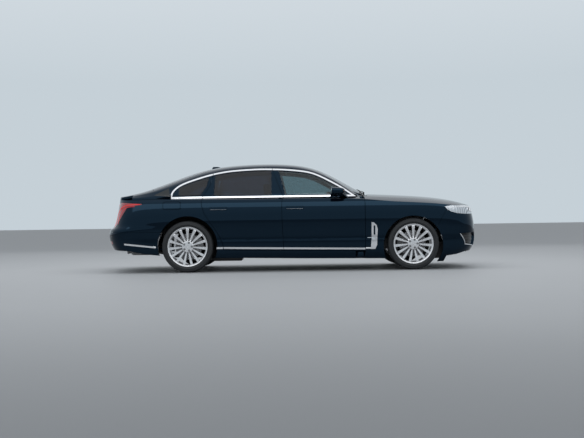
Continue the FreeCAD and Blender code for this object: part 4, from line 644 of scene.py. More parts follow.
# Tyres and wheels.
wheel = {
    "treadWidth": 0.212, "carcassRadius": 0.3425, "treadCount": 72, "treadSink": 0.002,
    "shoulderEase": 0.0012,
    "shoulderDrop": 0.0035, "ribEdge": 0.0012, "slant": 0.12, "stagger": 0.3, "blockShare": 0.86,
    "shoulderShare": 0.78,
    "ribs": [
        (-0.088, 0.028), (-0.052, 0.026), (-0.017, 0.026), (0.018, 0.026), (0.053, 0.026), (0.089, 0.028)
    ],
    "sideLine": [
        (0.3425, -0.004), (0.3415, 0.004), (0.337, 0.0105), (0.329, 0.0145), (0.3275, 0.0142),
        (0.3265, 0.0152),
        (0.316, 0.0162), (0.304, 0.0164), (0.303, 0.0172), (0.2995, 0.0172), (0.2985, 0.0158),
        (0.289, 0.0128),
        (0.2795, 0.0072), (0.2745, 0.0045), (0.2735, 0.001), (0.2706, -0.0005), (0.2706, -0.006),
        (0.2625, -0.012),
    ],
    "boltCount": 5, "boltCircle": 0.056, "boltTurn": 0.3, "boltOut": 0.095,
    "boltHead": [(0.0001, 0.011), (0.0075, 0.011), (0.0088, 0.0095), (0.0088, -0.004), (0.0001, -0.004)],
    "boltSeat": [(0.0105, 0.0015), (0.0125, 0.0035), (0.0145, 0.0015), (0.0145, -0.005), (0.0105, -0.005)],
}


def tyreSkin(name, centre):
    half = wheel["treadWidth"] / 2
    outline = [(r, half + y) for r, y in wheel["sideLine"]]
    outline += [(r, -y) for r, y in outline[::-1]]
    return lathe(name, outline, 144, centre, 38.0)


def treadBlocks(name, centre, side):
    pitch = 2 * math.pi * wheel["carcassRadius"] / wheel["treadCount"]
    low = wheel["carcassRadius"] - wheel["treadSink"]
    parts = []
    for i, (y, wide) in enumerate(wheel["ribs"]):
        outer = i in (0, len(wheel["ribs"]) - 1)
        top = car["tyreRadius"] - (wheel["shoulderEase"] if outer else 0.0)
        slant = pitch * wheel["slant"] * (1 if y * side > 0 else -1)
        long = pitch * (wheel["shoulderShare"] if outer else wheel["blockShare"])
        part = block(
            "rib", (-long / 2, y - wide / 2, low), (long / 2, y + wide / 2, top), wheel["ribEdge"], 1
        )
        for v in part.data.vertices:
            v.co.x += slant * (v.co.y - y) / wide * 2 + (i % 2) * pitch * wheel["stagger"]
            if outer and abs(v.co.y) > abs(y) + wide * 0.3:
                v.co.z -= wheel["shoulderDrop"]
        parts.append(part)
    values = {"Count": wheel["treadCount"], "Turn": 0.0, "Centre": centre, "Material": rubber}
    return grown(joined(name, parts), ringCopies, values)


def wheelBolts(name, centre, side):
    place = (0, 0, wheel["boltCircle"])
    parts = []
    for part, sides, smooth in (("boltHead", 6, None), ("boltSeat", 20, 30.0)):
        outline = [(r, side * (wheel["boltOut"] + y)) for r, y in wheel[part]]
        parts.append(lathe(part, outline, sides, place, smooth))
    values = {"Count": wheel["boltCount"], "Turn": wheel["boltTurn"], "Centre": centre, "Material": steel}
    return grown(joined(name, parts), ringCopies, values)


for end, axleX in (("front", car["frontAxle"]), ("rear", car["rearAxle"])):
    for hand, side in hands:
        body = end + "_wheel_" + hand
        centre = (axleX, side * car["halfTrack"], car["tyreRadius"])
        dress(tyreSkin(body + ".tyre", centre), body, rubber, [end + "_tyre_" + hand])
        tread = treadBlocks(body + ".tread", centre, side)
        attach(tread, body)
        bolts = wheelBolts(body + ".bolts", centre, side)
        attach(bolts, body)
print("wheels dressed")


# Seats: crowned foam panels with seams.
seat = {
    "centre": 0.372, "half": 0.262, "front": 0.335, "back": -0.2, "top": 0.472, "slope": 0.042,
    "lean": 0.15,
    "backFoot": 0.1, "backTop": 1.012, "backEase": (0.02, 0.03), "headHalf": (0.125, 0.115),
    "headLine": [(-0.285, 1.035), (-0.312, 1.2)],
}
bench = {
    "front": -0.588, "back": -1.03, "top": 0.482, "slope": 0.05,
    "backLine": [(-0.955, 0.43), (-1.118, 0.985)],
    "headLine": [(-1.12, 0.995), (-1.148, 1.105)],
    "places": [("right", -0.545, -0.11, 3), ("middle", -0.108, 0.108, 1), ("left", 0.11, 0.545, 3)],
}
padding = {"steps": 40, "seam": 0.006, "fill": 0.75}


def pad(name, corners, depth, crown, columns=3, rows=4, channel=0.006, rounding=0.03):
    # four corners of the padded face, anticlockwise seen from outside; the pad grows inwards by depth
    a, b, c, d = [Vector(p) for p in corners]
    normal = (b - a).cross(d - a).normalized()
    steps, seam = padding["steps"], padding["seam"]
    verts, faces = [], []
    wide, high = (b - a).length, (d - a).length
    for i in range(steps + 1):
        for j in range(steps + 1):
            u, v = i / steps, j / steps
            point = a.lerp(b, u).lerp(d.lerp(c, u), v)
            edge = min(u * wide, (1 - u) * wide, v * high, (1 - v) * high)
            round_ = min(1.0, edge / rounding)
            lift = -rounding * (1 - math.sqrt(max(0.0, 1 - (1 - round_) ** 2)))
            lift += crown * (1 - (2 * u - 1) ** 4) * (1 - (2 * v - 1) ** 4)
            for k in range(1, columns):
                lift -= channel * math.exp(-(((u - k / columns) * wide) / seam) ** 2)
            for k in range(1, rows):
                inside = 1.0 if 1 / columns < u < (columns - 1) / columns else 0.0
                lift -= channel * 0.8 * inside * math.exp(-(((v - k / rows) * high) / seam) ** 2)
            verts.append(point + normal * lift)
    top = len(verts)
    for i in range(steps + 1):
        for j in range(steps + 1):
            u, v = i / steps, j / steps
            verts.append(a.lerp(b, u).lerp(d.lerp(c, u), v) - normal * depth)
    line = steps + 1
    for i in range(steps):
        for j in range(steps):
            p = i * line + j
            faces.append((p, p + line, p + line + 1, p + 1))
            faces.append((top + p, top + p + 1, top + p + line + 1, top + p + line))
    last = steps * line
    for i in range(steps):
        a = i * line
        for p, q in ((a, a + line), (a + steps, a + line + steps), (i, i + 1), (last + i, last + i + 1)):
            faces.append((p, q, top + q, top + p))
    return meshObject(name, verts, faces, 50.0)


def level(name, y0, y1, front, back, top, slope, depth, crown, columns=3):
    low = top - slope
    corners = [(back, y0, low), (front, y0, top), (front, y1, top), (back, y1, low)]
    return pad(name, corners, depth, crown, columns)


def upright(name, y, halves, ends, depth, crown, columns=1, rows=1):
    (lowX, lowZ), (highX, highZ) = ends
    lowHalf, highHalf = halves
    corners = [
        (lowX, y + lowHalf, lowZ), (highX, y + highHalf, highZ), (highX, y - highHalf, highZ),
        (lowX, y - lowHalf, lowZ)
    ]
    return pad(name, corners, depth, crown, columns, rows)


def frontSeat(mark, side):
    y, half = side * seat["centre"], seat["half"]
    foot = seat["back"] + seat["backFoot"]
    ends = [(foot, seat["top"] - 0.04), (foot - seat["lean"], seat["backTop"])]
    halves = [half - ease for ease in seat["backEase"]]
    return [
        level(
            "frontSeat.cushion." + mark, y - half, y + half, seat["front"], seat["back"], seat["top"],
            seat["slope"], 0.16, 0.01
        ),
        upright("frontSeat.back." + mark, y, halves, ends, 0.12, 0.012, 3, 5),
        upright("frontSeat.headrest." + mark, y, seat["headHalf"], seat["headLine"], 0.09, 0.012),
    ]


def rearBench():
    made = []
    for mark, y0, y1, columns in bench["places"]:
        middle, half = (y0 + y1) / 2, (y1 - y0) / 2
        name = "rearSeat.cushion." + mark
        made.append(
            level(
                name, y0, y1, bench["front"], bench["back"], bench["top"], bench["slope"], 0.15, 0.008,
                columns
            )
        )
        made.append(
            upright(
                "rearSeat.back." + mark, middle, (half, half), bench["backLine"], 0.12, 0.012, columns, 5
            )
        )
    for mark, side in hands:
        y = side * seat["centre"]
        made.append(
            upright("rearSeat.headrest." + mark, y, seat["headHalf"], bench["headLine"], 0.08, 0.01)
        )
    return made


pieces = []
for mark, side in hands:
    pieces += frontSeat(mark, side)
for piece in pieces + rearBench():
    dress(piece, "body", leather)
print("seats made")


# Strips and small parts laid on the skin.
def skinPoint(x, z, side, trees=(0, 1, 3)):
    start = Vector((x, side * 2.0, z))
    best = None
    for index in trees:
        tree, verts, faces, normals = skins[index]
        place, normal, _, distance = tree.ray_cast(start, Vector((0, -side, 0)))
        if place is not None and place.y * side > 0 and (best is None or distance < best[2]):
            best = (place, normal if normal.y * side > 0 else -normal, distance)
    return best


def topPoint(x, y, trees=(2, 3)):
    best = None
    for index in trees:
        tree = skins[index][0]
        place, normal, _, distance = tree.ray_cast(Vector((x, y, 3.0)), Vector((0, 0, -1)))
        if place is not None and (best is None or distance < best[2]):
            best = (place, normal if normal.z > 0 else -normal, distance)
    return best


def tube(name, path, radius, sides=8, smooth=40.0, flat=1.0):
    verts, faces = [], []
    points = [Vector(p) for p in path]
    for i, point in enumerate(points):
        along = (points[min(i + 1, len(points) - 1)] - points[max(i - 1, 0)]).normalized()
        across = along.cross(Vector((0, 0, 1)))
        if across.length < 0.05:
            across = along.cross(Vector((1, 0, 0)))
        across.normalize()
        up = across.cross(along).normalized()
        for k in range(sides):
            a = 2 * math.pi * k / sides
            verts.append(point + across * math.cos(a) * radius + up * math.sin(a) * radius * flat)
    for i in range(len(points) - 1):
        for k in range(sides):
            n = (k + 1) % sides
            faces.append((i * sides + k, i * sides + n, (i + 1) * sides + n, (i + 1) * sides + k))
    faces.append(tuple(range(sides)))
    faces.append(tuple(range((len(points) - 1) * sides, len(points) * sides)))
    return meshObject(name, verts, faces, smooth)


def sideStrip(name, path, side, wide, high, sink=0.001, trees=(0, 1, 3)):
    # path of x, z pairs on the side of the car; wide is its height on the skin, high how far it stands out
    verts, faces = [], []
    marks = [Vector((x, 0, z)) for x, z in path]
    for i, mark in enumerate(marks):
        along = (marks[min(i + 1, len(marks) - 1)] - marks[max(i - 1, 0)]).normalized()
        across = Vector((-along.z, 0, along.x))
        row = []
        for t in (-0.5, -0.3, 0.3, 0.5):
            q = mark + across * wide * t
            place, normal, _ = skinPoint(q.x, q.z, side, trees)
            row.append((place, normal, t))
        for place, normal, t in row:
            verts.append(place + normal * (high if abs(t) < 0.4 else high * 0.35))
        for place, normal, t in (row[3], row[0]):
            verts.append(place - normal * sink)
    for i in range(len(marks) - 1):
        for k in range(6):
            n = (k + 1) % 6
            faces.append((i * 6 + k, i * 6 + n, (i + 1) * 6 + n, (i + 1) * 6 + k))
    faces.append(tuple(range(6)))
    faces.append(tuple(range((len(marks) - 1) * 6, len(marks) * 6)))
    return meshObject(name, verts, faces, 30.0)


def line(start, end, count):
    return [
        (start[0] + (end[0] - start[0]) * i / (count - 1), start[1] + (end[1] - start[1]) * i / (count - 1))
        for i in range(count)
    ]


# on each door handle a thin satin strip lies where the flush handle shows a bright highlight: a painted
# highlight
handles = {"front": 0.043, "rear": -0.994, "z": 0.846, "half": 0.11, "wide": 0.0035, "high": 0.0016}
for hand, side in hands:
    for end in ("front", "rear"):
        path = line(
            (handles[end] - handles["half"], handles["z"]), (handles[end] + handles["half"], handles["z"]),
            9
        )
        strip = sideStrip(end + "_handle_highlight_strip_" + hand, path, side, handles["wide"], handles["high"])
        dress(strip, end + "_door_" + hand, handleHighlightMetal)
print("handles made")

wipers = {
    "places": [(1.03, -0.22, 0.5), (1.018, 0.36, 0.56)], "armSpan": 0.72, "armSwing": 0.055,
    "armLift": (0.02, 0.014),
    "bladeSpan": 1.05, "bladeBow": 0.06, "bladeLift": 0.008, "pivotSink": 0.006,
    "pivot": [(0.0001, -0.0), (0.013, 0.0), (0.013, 0.03), (0.0001, 0.03)],
}


def makeWiper(mark, x, y, reach):
    arm, blade = [], []
    for i in range(15):
        t = i / 14
        swing = wipers["armSwing"] * math.sin(t * 2.2)
        place, normal, _ = topPoint(x - 0.02 - swing, y - reach * wipers["armSpan"] * t)
        high, low = wipers["armLift"]
        arm.append(place + normal * (high - (high - low) * t))
    middle = arm[-1]
    for i in range(25):
        t = i / 24 - 0.5
        place, normal, _ = topPoint(
            middle.x + wipers["bladeBow"] * t * t, middle.y + reach * wipers["bladeSpan"] * t
        )
        blade.append(place + normal * wipers["bladeLift"])
    dress(tube(mark + ".arm", arm, 0.006, 8, flat=0.6), "body", blackTrim)
    dress(tube(mark + ".blade", blade, 0.0055, 6, flat=1.3), "body", rubber)
    base = topPoint(x - 0.004, y)[0]
    pivot = lathe(mark + ".pivot", wipers["pivot"], 16)
    for v in pivot.data.vertices:
        v.co = Vector((base.x + v.co.x, base.y + v.co.z, base.z - wipers["pivotSink"] + v.co.y))
    dress(pivot, "body", blackTrim)


for number, (x, y, reach) in enumerate(wipers["places"]):
    makeWiper("wiper%d" % number, x, y, reach)
print("wipers made")


# Lamps.
lampParts = {
    "radius": 0.026, "projectors": [(0.735, 0.808), (0.66, 0.803), (0.585, 0.797)],
    "dome": [
        (0.0001, 0.003), (0.013, 0.0026), (0.0208, 0.0014), (0.026, 0.0004), (0.026, -0.003),
        (0.0001, -0.003)
    ],
    "ring": [(0.026, 0.0006), (0.028, 0.003), (0.0305, 0.0022), (0.032, -0.003), (0.026, -0.003)],
    "frontLine": ((0.56, 0.845), (0.85, 0.841)), "sideLine": ((2.15, 0.838), (2.34, 0.844)),
    "lineHigh": 0.0012,
}


def endPoint(y, z, nose=True):
    best = None
    for index in (0, 1):
        tree = skins[index][0]
        place, normal, _, distance = tree.ray_cast(
            Vector((3.2 if nose else -3.2, y, z)), Vector((-1 if nose else 1, 0, 0))
        )
        if place is not None and (best is None or distance < best[2]):
            out = 1 if nose else -1
            best = (place, normal if normal.x * out > 0 else -normal, distance)
    return best


# a thin glowing bar along a path; the white running lights use it, and on the lid lamp it is a painted
# highlight
def ledAndHighlightBar(name, path, wide, thick, material, body):
    verts, faces = [], []
    for place, normal in path:
        for dz in (-wide / 2, wide / 2):
            for depth in (thick, -0.002):
                verts.append(place + normal * depth + Vector((0, 0, dz)))
    for i in range(len(path) - 1):
        a, b = i * 4, (i + 1) * 4
        faces += [
            (a, b, b + 2, a + 2), (a + 2, b + 2, b + 3, a + 3), (a + 3, b + 3, b + 1, a + 1),
            (a + 1, b + 1, b, a)
        ]
    last = (len(path) - 1) * 4
    faces += [(0, 2, 3, 1), (last, last + 1, last + 3, last + 2)]
    return dress(meshObject(name, verts, faces, 30.0), body, material)


def glow(name, dark, light, strength):
    material, tree, shader = newMaterial(name)
    node = addGrain(tree, shader, dark, light, 300.0)
    tree.links.new(node.outputs["Colour"], shader.inputs["Emission Color"])
    shader.inputs["Emission Strength"].default_value = strength
    shader.inputs["Roughness"].default_value = 0.25
    return material


def laid(obj, place, normal):
    # a turned part whose axis is Y is stood on a surface
    aim = Vector((0, 1, 0)).rotation_difference(normal).to_matrix()
    for v in obj.data.vertices:
        v.co = aim @ v.co + place
    return obj


whiteLed = glow("whiteLed", (0.75, 0.78, 0.8), (0.9, 0.92, 0.94), 0.25)
# red glow for the dial needles, and for the strips on the tail lamps, where the glow is a painted highlight
redGlowAndHighlight = glow("redGlowAndHighlight", (0.55, 0.006, 0.008), (0.75, 0.012, 0.012), 0.35)

for hand, side in hands:
    stripe = [endPoint(side * y, z)[:2] for y, z in line(*lampParts["frontLine"], 24)]
    ledAndHighlightBar("runningLight." + hand, stripe, 0.008, lampParts["lineHigh"], whiteLed, "body")
    stripe = [skinPoint(x, z, side, (0, 1))[:2] for x, z in line(*lampParts["sideLine"], 20)]
    ledAndHighlightBar("runningLightSide." + hand, stripe, 0.007, lampParts["lineHigh"], whiteLed, "body")
    for number, (y, z) in enumerate(lampParts["projectors"]):
        place, normal, _ = endPoint(side * y, z)
        for part, outline, material in (("lens", "dome", lensGlass), ("ring", "ring", chrome)):
            piece = lathe("projector%s%d.%s" % (part, number, hand), lampParts[outline], 32)
            dress(laid(piece, place, normal), "body", material)
print("headlamps dressed")


tail = {
    "line": [
        (-2.06, 0.932), (-2.16, 0.93), (-2.25, 0.922), (-2.31, 0.9), (-2.355, 0.86), (-2.385, 0.81),
        (-2.408, 0.75),
        (-2.428, 0.69), (-2.445, 0.64),
    ],
    "innerShift": (0.026, 0.02, -0.024),
    "reflector": [(0.5, 0.395), (0.72, 0.395), (0.74, 0.415), (0.72, 0.435), (0.5, 0.435)],
    "barZ": 0.93, "barHalf": 0.6, "barCount": 41,
}
intake = {
    "outline": [(0.58, 0.3), (0.82, 0.33), (0.86, 0.48), (0.64, 0.5), (0.56, 0.44)], "depth": 0.03,
    "backing": 0.012,
    "slats": 9, "slatRadius": 0.0042, "trimFoot": ((0.572, 0.3), (0.82, 0.331)),
    "trimSide": ((0.82, 0.331), (0.858, 0.476)),
    "trimSink": 0.004, "trimRadius": 0.0055,
}
sensors = {
    "places": {"front": ((0.35, 0.235), (0.74, 0.235)), "rear": ((0.35, 0.47), (0.74, 0.5))},
    "disc": [(0.0001, 0.0008), (0.009, 0.0008), (0.0115, 0.0), (0.0115, -0.004), (0.0001, -0.004)],
}


def smoothLine(points, steps=6):
    full = [points[0]] + list(points) + [points[-1]]
    path = []
    for i in range(1, len(full) - 2):
        for k in range(steps):
            t = k / steps
            a, b, c, d = [np.array(full[i + n], float) for n in (-1, 0, 1, 2)]
            bend = (2 * a - 5 * b + 4 * c - d) * t * t + (3 * b - a - 3 * c + d) * t ** 3
            path.append(tuple(0.5 * (2 * b + (c - a) * t + bend)))
    return path + [tuple(points[-1])]


def across(outline, z):
    # the two places where a level line cuts an outline of y, z pairs
    cuts = []
    for (y0, z0), (y1, z1) in zip(outline, outline[1:] + outline[:1]):
        if (z0 - z) * (z1 - z) < 0:
            cuts.append(y0 + (y1 - y0) * (z - z0) / (z1 - z0))
    return min(cuts), max(cuts)


def endSheet(name, outline, side, depth, thick, material, nose=True, rows=10, columns=14):
    # a thin closed sheet that follows the nose or the tail inside an outline of y, z pairs
    lows, highs = min(z for _, z in outline) + 0.0006, max(z for _, z in outline) - 0.0006
    verts = []
    for layer in (depth, depth + thick):
        for i in range(rows + 1):
            z = lows + (highs - lows) * i / rows
            left, right = across(outline, z)
            for j in range(columns + 1):
                place, normal, _ = endPoint(side * (left + (right - left) * j / columns), z, nose)
                verts.append(place - normal * layer)
    line, layer = columns + 1, (rows + 1) * (columns + 1)
    faces = []
    for i in range(rows):
        for j in range(columns):
            a = i * line + j
            faces.append((a, a + 1, a + line + 1, a + line))
            faces.append((layer + a, layer + a + line, layer + a + line + 1, layer + a + 1))
    rim = [j for j in range(line)] + [i * line + columns for i in range(1, rows + 1)]
    rim += [
        rows * line + j for j in range(columns - 1, -1, -1)
    ] + [i * line for i in range(rows - 1, 0, -1)]
    for a, b in zip(rim, rim[1:] + rim[:1]):
        faces.append((a, b, layer + b, layer + a))
    return dress(meshObject(name, verts, faces, 40.0), "body", material)


def endTube(name, outline, side, depth, radius, material, nose=True, body="body"):
    path = []
    for y, z in outline:
        place, normal, _ = endPoint(side * y, z, nose)
        path.append(place - normal * depth)
    return dress(tube(name, path, radius, 8), body, material)


def dressIntake(hand, side):
    outline, depth = intake["outline"], intake["depth"]
    endSheet("intakeBack." + hand, outline, side, depth + intake["backing"], 0.003, blackTrim)
    lowZ = min(z for _, z in outline)
    highZ = max(z for _, z in outline)
    for number in range(intake["slats"]):
        z = lowZ + (highZ - lowZ) * (number + 0.7) / (intake["slats"] + 0.4)
        left, right = across(outline, z)
        name = "intakeSlat%d.%s" % (number, hand)
        endTube(name, line((left, z), (right, z), 12), side, depth, intake["slatRadius"], glossBlack)
    trim = line(*intake["trimFoot"], 12)[:-1] + line(*intake["trimSide"], 8)
    endTube("intakeTrim." + hand, trim, side, intake["trimSink"], intake["trimRadius"], chrome)


# the glowing red strips along the tail lamp's L are painted highlight lines
def dressTail(hand, side):
    outer = smoothLine(tail["line"])
    dress(sideStrip("tailHighlightOuter." + hand, outer, side, 0.012, 0.0016), "body", redGlowAndHighlight)
    x0, grow, z0 = tail["innerShift"]
    inner = [(x + x0 + grow * n / 8, z + z0) for n, (x, z) in enumerate(tail["line"][1:])]
    dress(
        sideStrip("tailHighlightInner." + hand, smoothLine(inner[:-1]), side, 0.006, 0.0014), "body", redGlowAndHighlight,
    )


def dressSensors(hand, side):
    for number in range(2):
        for end, places in sensors["places"].items():
            y, z = places[number]
            place, normal, _ = endPoint(side * y, z, end == "front")
            disc = lathe("sensor.%s%d.%s" % (end, number, hand), sensors["disc"], 24)
            dress(laid(disc, place, normal), "body", glossBlack)


for hand, side in hands:
    dressTail(hand, side)
    dressIntake(hand, side)
    endSheet("reflector." + hand, tail["reflector"], side, -0.0012, 0.004, redGlass, False, 4, 12)
    dressSensors(hand, side)


def lidLine():
    mesh = nodes["lid_lamp"].data
    lens = BVHTree.FromPolygons([v.co for v in mesh.vertices], [p.vertices for p in mesh.polygons])
    found = []
    for i in range(tail["barCount"]):
        y = -tail["barHalf"] + 2 * tail["barHalf"] * i / (tail["barCount"] - 1)
        place, normal, _, _ = lens.ray_cast(Vector((-3.2, y, tail["barZ"])), Vector((1, 0, 0)))
        if place is not None:
            found.append((place, normal))
    return found


# the glowing red bar across the lid lamp is a painted highlight line
ledAndHighlightBar("lidHighlight", lidLine(), 0.012, 0.0014, redGlowAndHighlight, "trunk_lid")
print("tail and intakes dressed")


# Pieces on the side: strip over the fender, tab of the blade, gloss black wedge behind the rear window as a
# painted reflection on the pillar, mirrors.
sideParts = {
    "strip": ((0.998, 0.2985), (1.072, 0.296)), "tab": ((1.02, 0.4405), (1.122, 0.4395)),
    "wedgeLow": ((-1.868, 1.05), (-1.655, 1.035)), "wedgeHigh": ((-1.868, 1.056), (-1.665, 1.15)),
    "mirror": {"x": 0.535, "reach": 0.996, "z": 1.082, "half": 0.074, "high": 0.036},
    "repeater": {"x": 0.7, "long": 0.1, "y": 1.052, "bow": 0.022, "z": 1.078, "radius": 0.0035},
    "linerShade": {"x": (1.94, 2.12), "y": 0.45, "z": (0.13, 0.36), "thick": 0.003},
}


def sideSheet(name, low, high, side, lift, sink, count=12, rows=6, trees=(0, 1, 3)):
    verts = []
    for height in (lift, -sink):
        for i in range(count):
            (x0, z0), (x1, z1) = low[i], high[i]
            for j in range(rows):
                t = j / (rows - 1)
                place, normal, _ = skinPoint(x0 + (x1 - x0) * t, z0 + (z1 - z0) * t, side, trees)
                verts.append(place + normal * height)
    faces, layer = [], count * rows
    for i in range(count - 1):
        for j in range(rows - 1):
            a = i * rows + j
            faces.append((a, a + rows, a + rows + 1, a + 1))
            faces.append((layer + a, layer + a + 1, layer + a + rows + 1, layer + a + rows))
    rim = [i * rows for i in range(count)] + [(count - 1) * rows + j for j in range(1, rows)]
    rim += [i * rows + rows - 1 for i in range(count - 2, -1, -1)] + [j for j in range(rows - 2, 0, -1)]
    for a, b in zip(rim, rim[1:] + rim[:1]):
        faces.append((a, b, layer + b, layer + a))
    return meshObject(name, verts, faces, 40.0)


def mirrorGlass(name, side, x, reach, z, half, high, squareness=0.7):
    verts = []
    for depth in (-0.0015, 0.002):
        for i in range(40):
            a = 2 * math.pi * i / 40
            y = math.copysign(abs(math.cos(a)) ** squareness, math.cos(a)) * half
            up = math.copysign(abs(math.sin(a)) ** squareness, math.sin(a)) * high
            verts.append((x + depth, side * reach + y, z + up))
    faces = [tuple(range(40)), tuple(range(79, 39, -1))]
    faces += [(i, (i + 1) % 40, 40 + (i + 1) % 40, 40 + i) for i in range(40)]
    return meshObject(name, verts, faces, 40.0)


def makeRepeater(name, side):
    plan = sideParts["repeater"]
    path = []
    for i in range(13):
        y = plan["y"] + plan["bow"] * math.sin(math.pi * 0.5 * i / 12)
        path.append((plan["x"] - plan["long"] * i / 12, side * y, plan["z"]))
    return tube(name, path, plan["radius"], 8)


# a thin black sheet inside the front wheel opening standing for the wheel liner's inner wall; its black is
# also painted shade, so the gap between tyre and flap reads dark instead of showing the floor
def makeLinerShadeWall(name, side):
    plan = sideParts["linerShade"]
    middle, half = side * plan["y"], plan["thick"] / 2
    (x0, x1), (z0, z1) = plan["x"], plan["z"]
    return block(name, (x0, middle - half, z0), (x1, middle + half, z1), 0.001, 1)


for hand, side in hands:
    door = "front_door_" + hand
    strip = sideStrip("fenderStrip." + hand, line(*sideParts["strip"], 8), side, 0.022, 0.007)
    dress(strip, "body", chrome)
    tab = sideStrip("bladeTab." + hand, line(*sideParts["tab"], 10), side, 0.012, 0.0085)
    dress(tab, "body", chrome)
    # the gloss black sheet on the pillar behind the rear window is a painted reflection, laid where the
    # pillar shows a reflecting wedge
    low, high = line(*sideParts["wedgeLow"], 12), line(*sideParts["wedgeHigh"], 12)
    dress(sideSheet("pillarReflectionWedge." + hand, low, high, side, 0.0008, 0.001), "body", glossBlack)
    dress(mirrorGlass("mirrorGlass." + hand, side, **sideParts["mirror"]), door, mirrorSilver)
    dress(makeRepeater("mirrorRepeater." + hand, side), door, amber)
    # the black sheet in the front wheel opening is partly the liner wall and partly painted shade
    dress(makeLinerShadeWall("linerShadeWall." + hand, side), "body", blackTrim)
print("side pieces made")


# Inside of the doors and the cabin.
doorInside = {
    "front": {"arm": (0.05, 0.56), "speaker": (0.66, 0.47), "pullX": 0.5},
    "rear": {"arm": (-0.86, -0.4), "speaker": (-0.36, 0.47), "pullX": -0.46},
    "armZ": (0.632, 0.68), "armDepth": 0.062, "armSink": 0.01, "armEdge": 0.014, "rayZ": 0.66,
    "pullZ": 0.76, "pullHalf": 0.055, "pullOut": (0.004, 0.034), "pullRadius": 0.007, "lineZ": 0.9,
    "lineRadius": 0.006,
    "ring": [(0.068, 0.0), (0.074, -0.004), (0.08, 0.0), (0.08, 0.008), (0.068, 0.008)],
    "disc": [(0.0001, -0.0015), (0.068, -0.0005), (0.068, 0.004), (0.0001, 0.004)],
}
doorTree = {}


def innerFace(node, x, z, side):
    if node not in doorTree:
        mesh = nodes[node].data
        doorTree[node] = BVHTree.FromPolygons(
            [v.co for v in mesh.vertices], [p.vertices for p in mesh.polygons]
        )
    return doorTree[node].ray_cast(Vector((x, side * 0.3, z)), Vector((0, side, 0)))[0]


def doorTrimLine(name, node, plan, side):
    path = []
    for x, z in line((plan["arm"][0], doorInside["lineZ"]), (plan["arm"][1], doorInside["lineZ"]), 13):
        hit = innerFace(node, x, z, side)
        if hit is not None:
            path.append((x, hit.y - side * 0.001, z))
    if len(path) > 3:
        dress(tube(name, path, doorInside["lineRadius"], 8), node, chrome)


def doorSpeaker(mark, node, plan, side):
    x, z = plan["speaker"]
    hit = innerFace(node, x, z, side)
    if hit is None:
        return
    for part, outline, segments, material, slotName in (
        ("speaker", "ring", 40, chrome, "bright"), ("speakerMesh", "disc", 32, blackTrim, "black_plastic"),
    ):
        rows = [(r, side * y) for r, y in doorInside[outline]]
        dress(lathe("%s.%s" % (mark, part), rows, segments, (x, hit.y, z)), node, material)


def lineDoor(end, hand, side):
    plan, node, mark = doorInside[end], end + "_door_" + hand, end + "Door." + hand
    armFrom, armTo = plan["arm"]
    face = innerFace(node, (armFrom + armTo) / 2, doorInside["rayZ"], side)
    if face is None:
        return
    inner, outer = face.y - side * doorInside["armDepth"], face.y + side * doorInside["armSink"]
    lowZ, highZ = doorInside["armZ"]
    low = (armFrom, min(inner, outer), lowZ)
    high = (armTo, max(inner, outer), highZ)
    dress(block(mark + ".armrest", low, high, doorInside["armEdge"], 3), node, leather)
    near, reach = doorInside["pullOut"]
    pull = []
    for i in range(17):
        a = math.pi * i / 16
        x = plan["pullX"] + doorInside["pullHalf"] * math.cos(a)
        pull.append((x, face.y - side * (near + reach * math.sin(a)), doorInside["pullZ"]))
    dress(tube(mark + ".pull", pull, doorInside["pullRadius"], 10), node, chrome)
    doorTrimLine(mark + ".trimLine", node, plan, side)
    doorSpeaker(mark, node, plan, side)


for hand, side in hands:
    for end in ("front", "rear"):
        lineDoor(end, hand, side)
print("doors lined")


# Dashboard and console.
dash = {
    "screen": ((0.5725, -0.184, 0.846), (0.5775, 0.154, 0.994)),
    "cluster": ((0.5565, 0.212, 0.929), (0.5605, 0.532, 0.998)),
    "dialX": 0.5562, "dialY": (0.29, 0.455), "dialZ": 0.963, "dialMarks": 24,
    "dialRim": [(0.029, 0.0), (0.03, 0.0022), (0.031, 0.0), (0.031, -0.001), (0.029, -0.001)],
    "tick": ((-0.0006, 0.0, 0.0225), (0.0006, 0.0008, 0.0275)),
    "needle": ((-0.0009, 0.0008, -0.004), (0.0009, 0.0016, 0.024)),
    "ventY": (-0.66, -0.3, 0.62), "ventZ": 0.868, "ventX": 0.588, "ventWide": 0.1, "ventHalf": 0.029,
    "slats": 7,
    "slatStep": 0.0075, "pedals": ((0.42, 0.05), (0.3, 0.06)),
    "pedalX": (0.93, 0.945), "pedalZ": (0.3, 0.38),
    "pedalArm": [(0.945, 0.36), (0.985, 0.5), (1.009, 0.58)],
    "stalk": [(0.418, 0, 1.31), (0.45, 0, 1.35), (0.462, 0, 1.372)], "stalkRadius": 0.009,
}
screenGlass = grained(
    "screenGlass", (0.004, 0.005, 0.006), (0.008, 0.009, 0.011), (0.06, 0.12), 14.0, Coat_Weight=1.0,
    Coat_Roughness=0.03
)
markPaint = grained("markPaint", (0.7, 0.7, 0.68), (0.8, 0.8, 0.78), (0.4, 0.5), 200.0)

def onDial(obj, y):
    for v in obj.data.vertices:
        v.co = Vector((dash["dialX"] - v.co.y, y + v.co.x, dash["dialZ"] + v.co.z))
    return obj


def makeDial(number, y):
    rim = lathe("dialRim%d" % number, dash["dialRim"], 40)
    dress(onDial(rim, y), "body", chrome)
    values = {"Count": dash["dialMarks"], "Turn": 0.0, "Centre": (0, 0, 0), "Material": markPaint}
    ticks = onDial(grown(block("tick", *dash["tick"]), ringCopies, values), y)
    ticks.name = "dialTicks%d" % number
    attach(ticks, "body")
    needle = block("dialNeedle%d" % number, *dash["needle"])
    dress(onDial(needle, y), "body", redGlowAndHighlight)


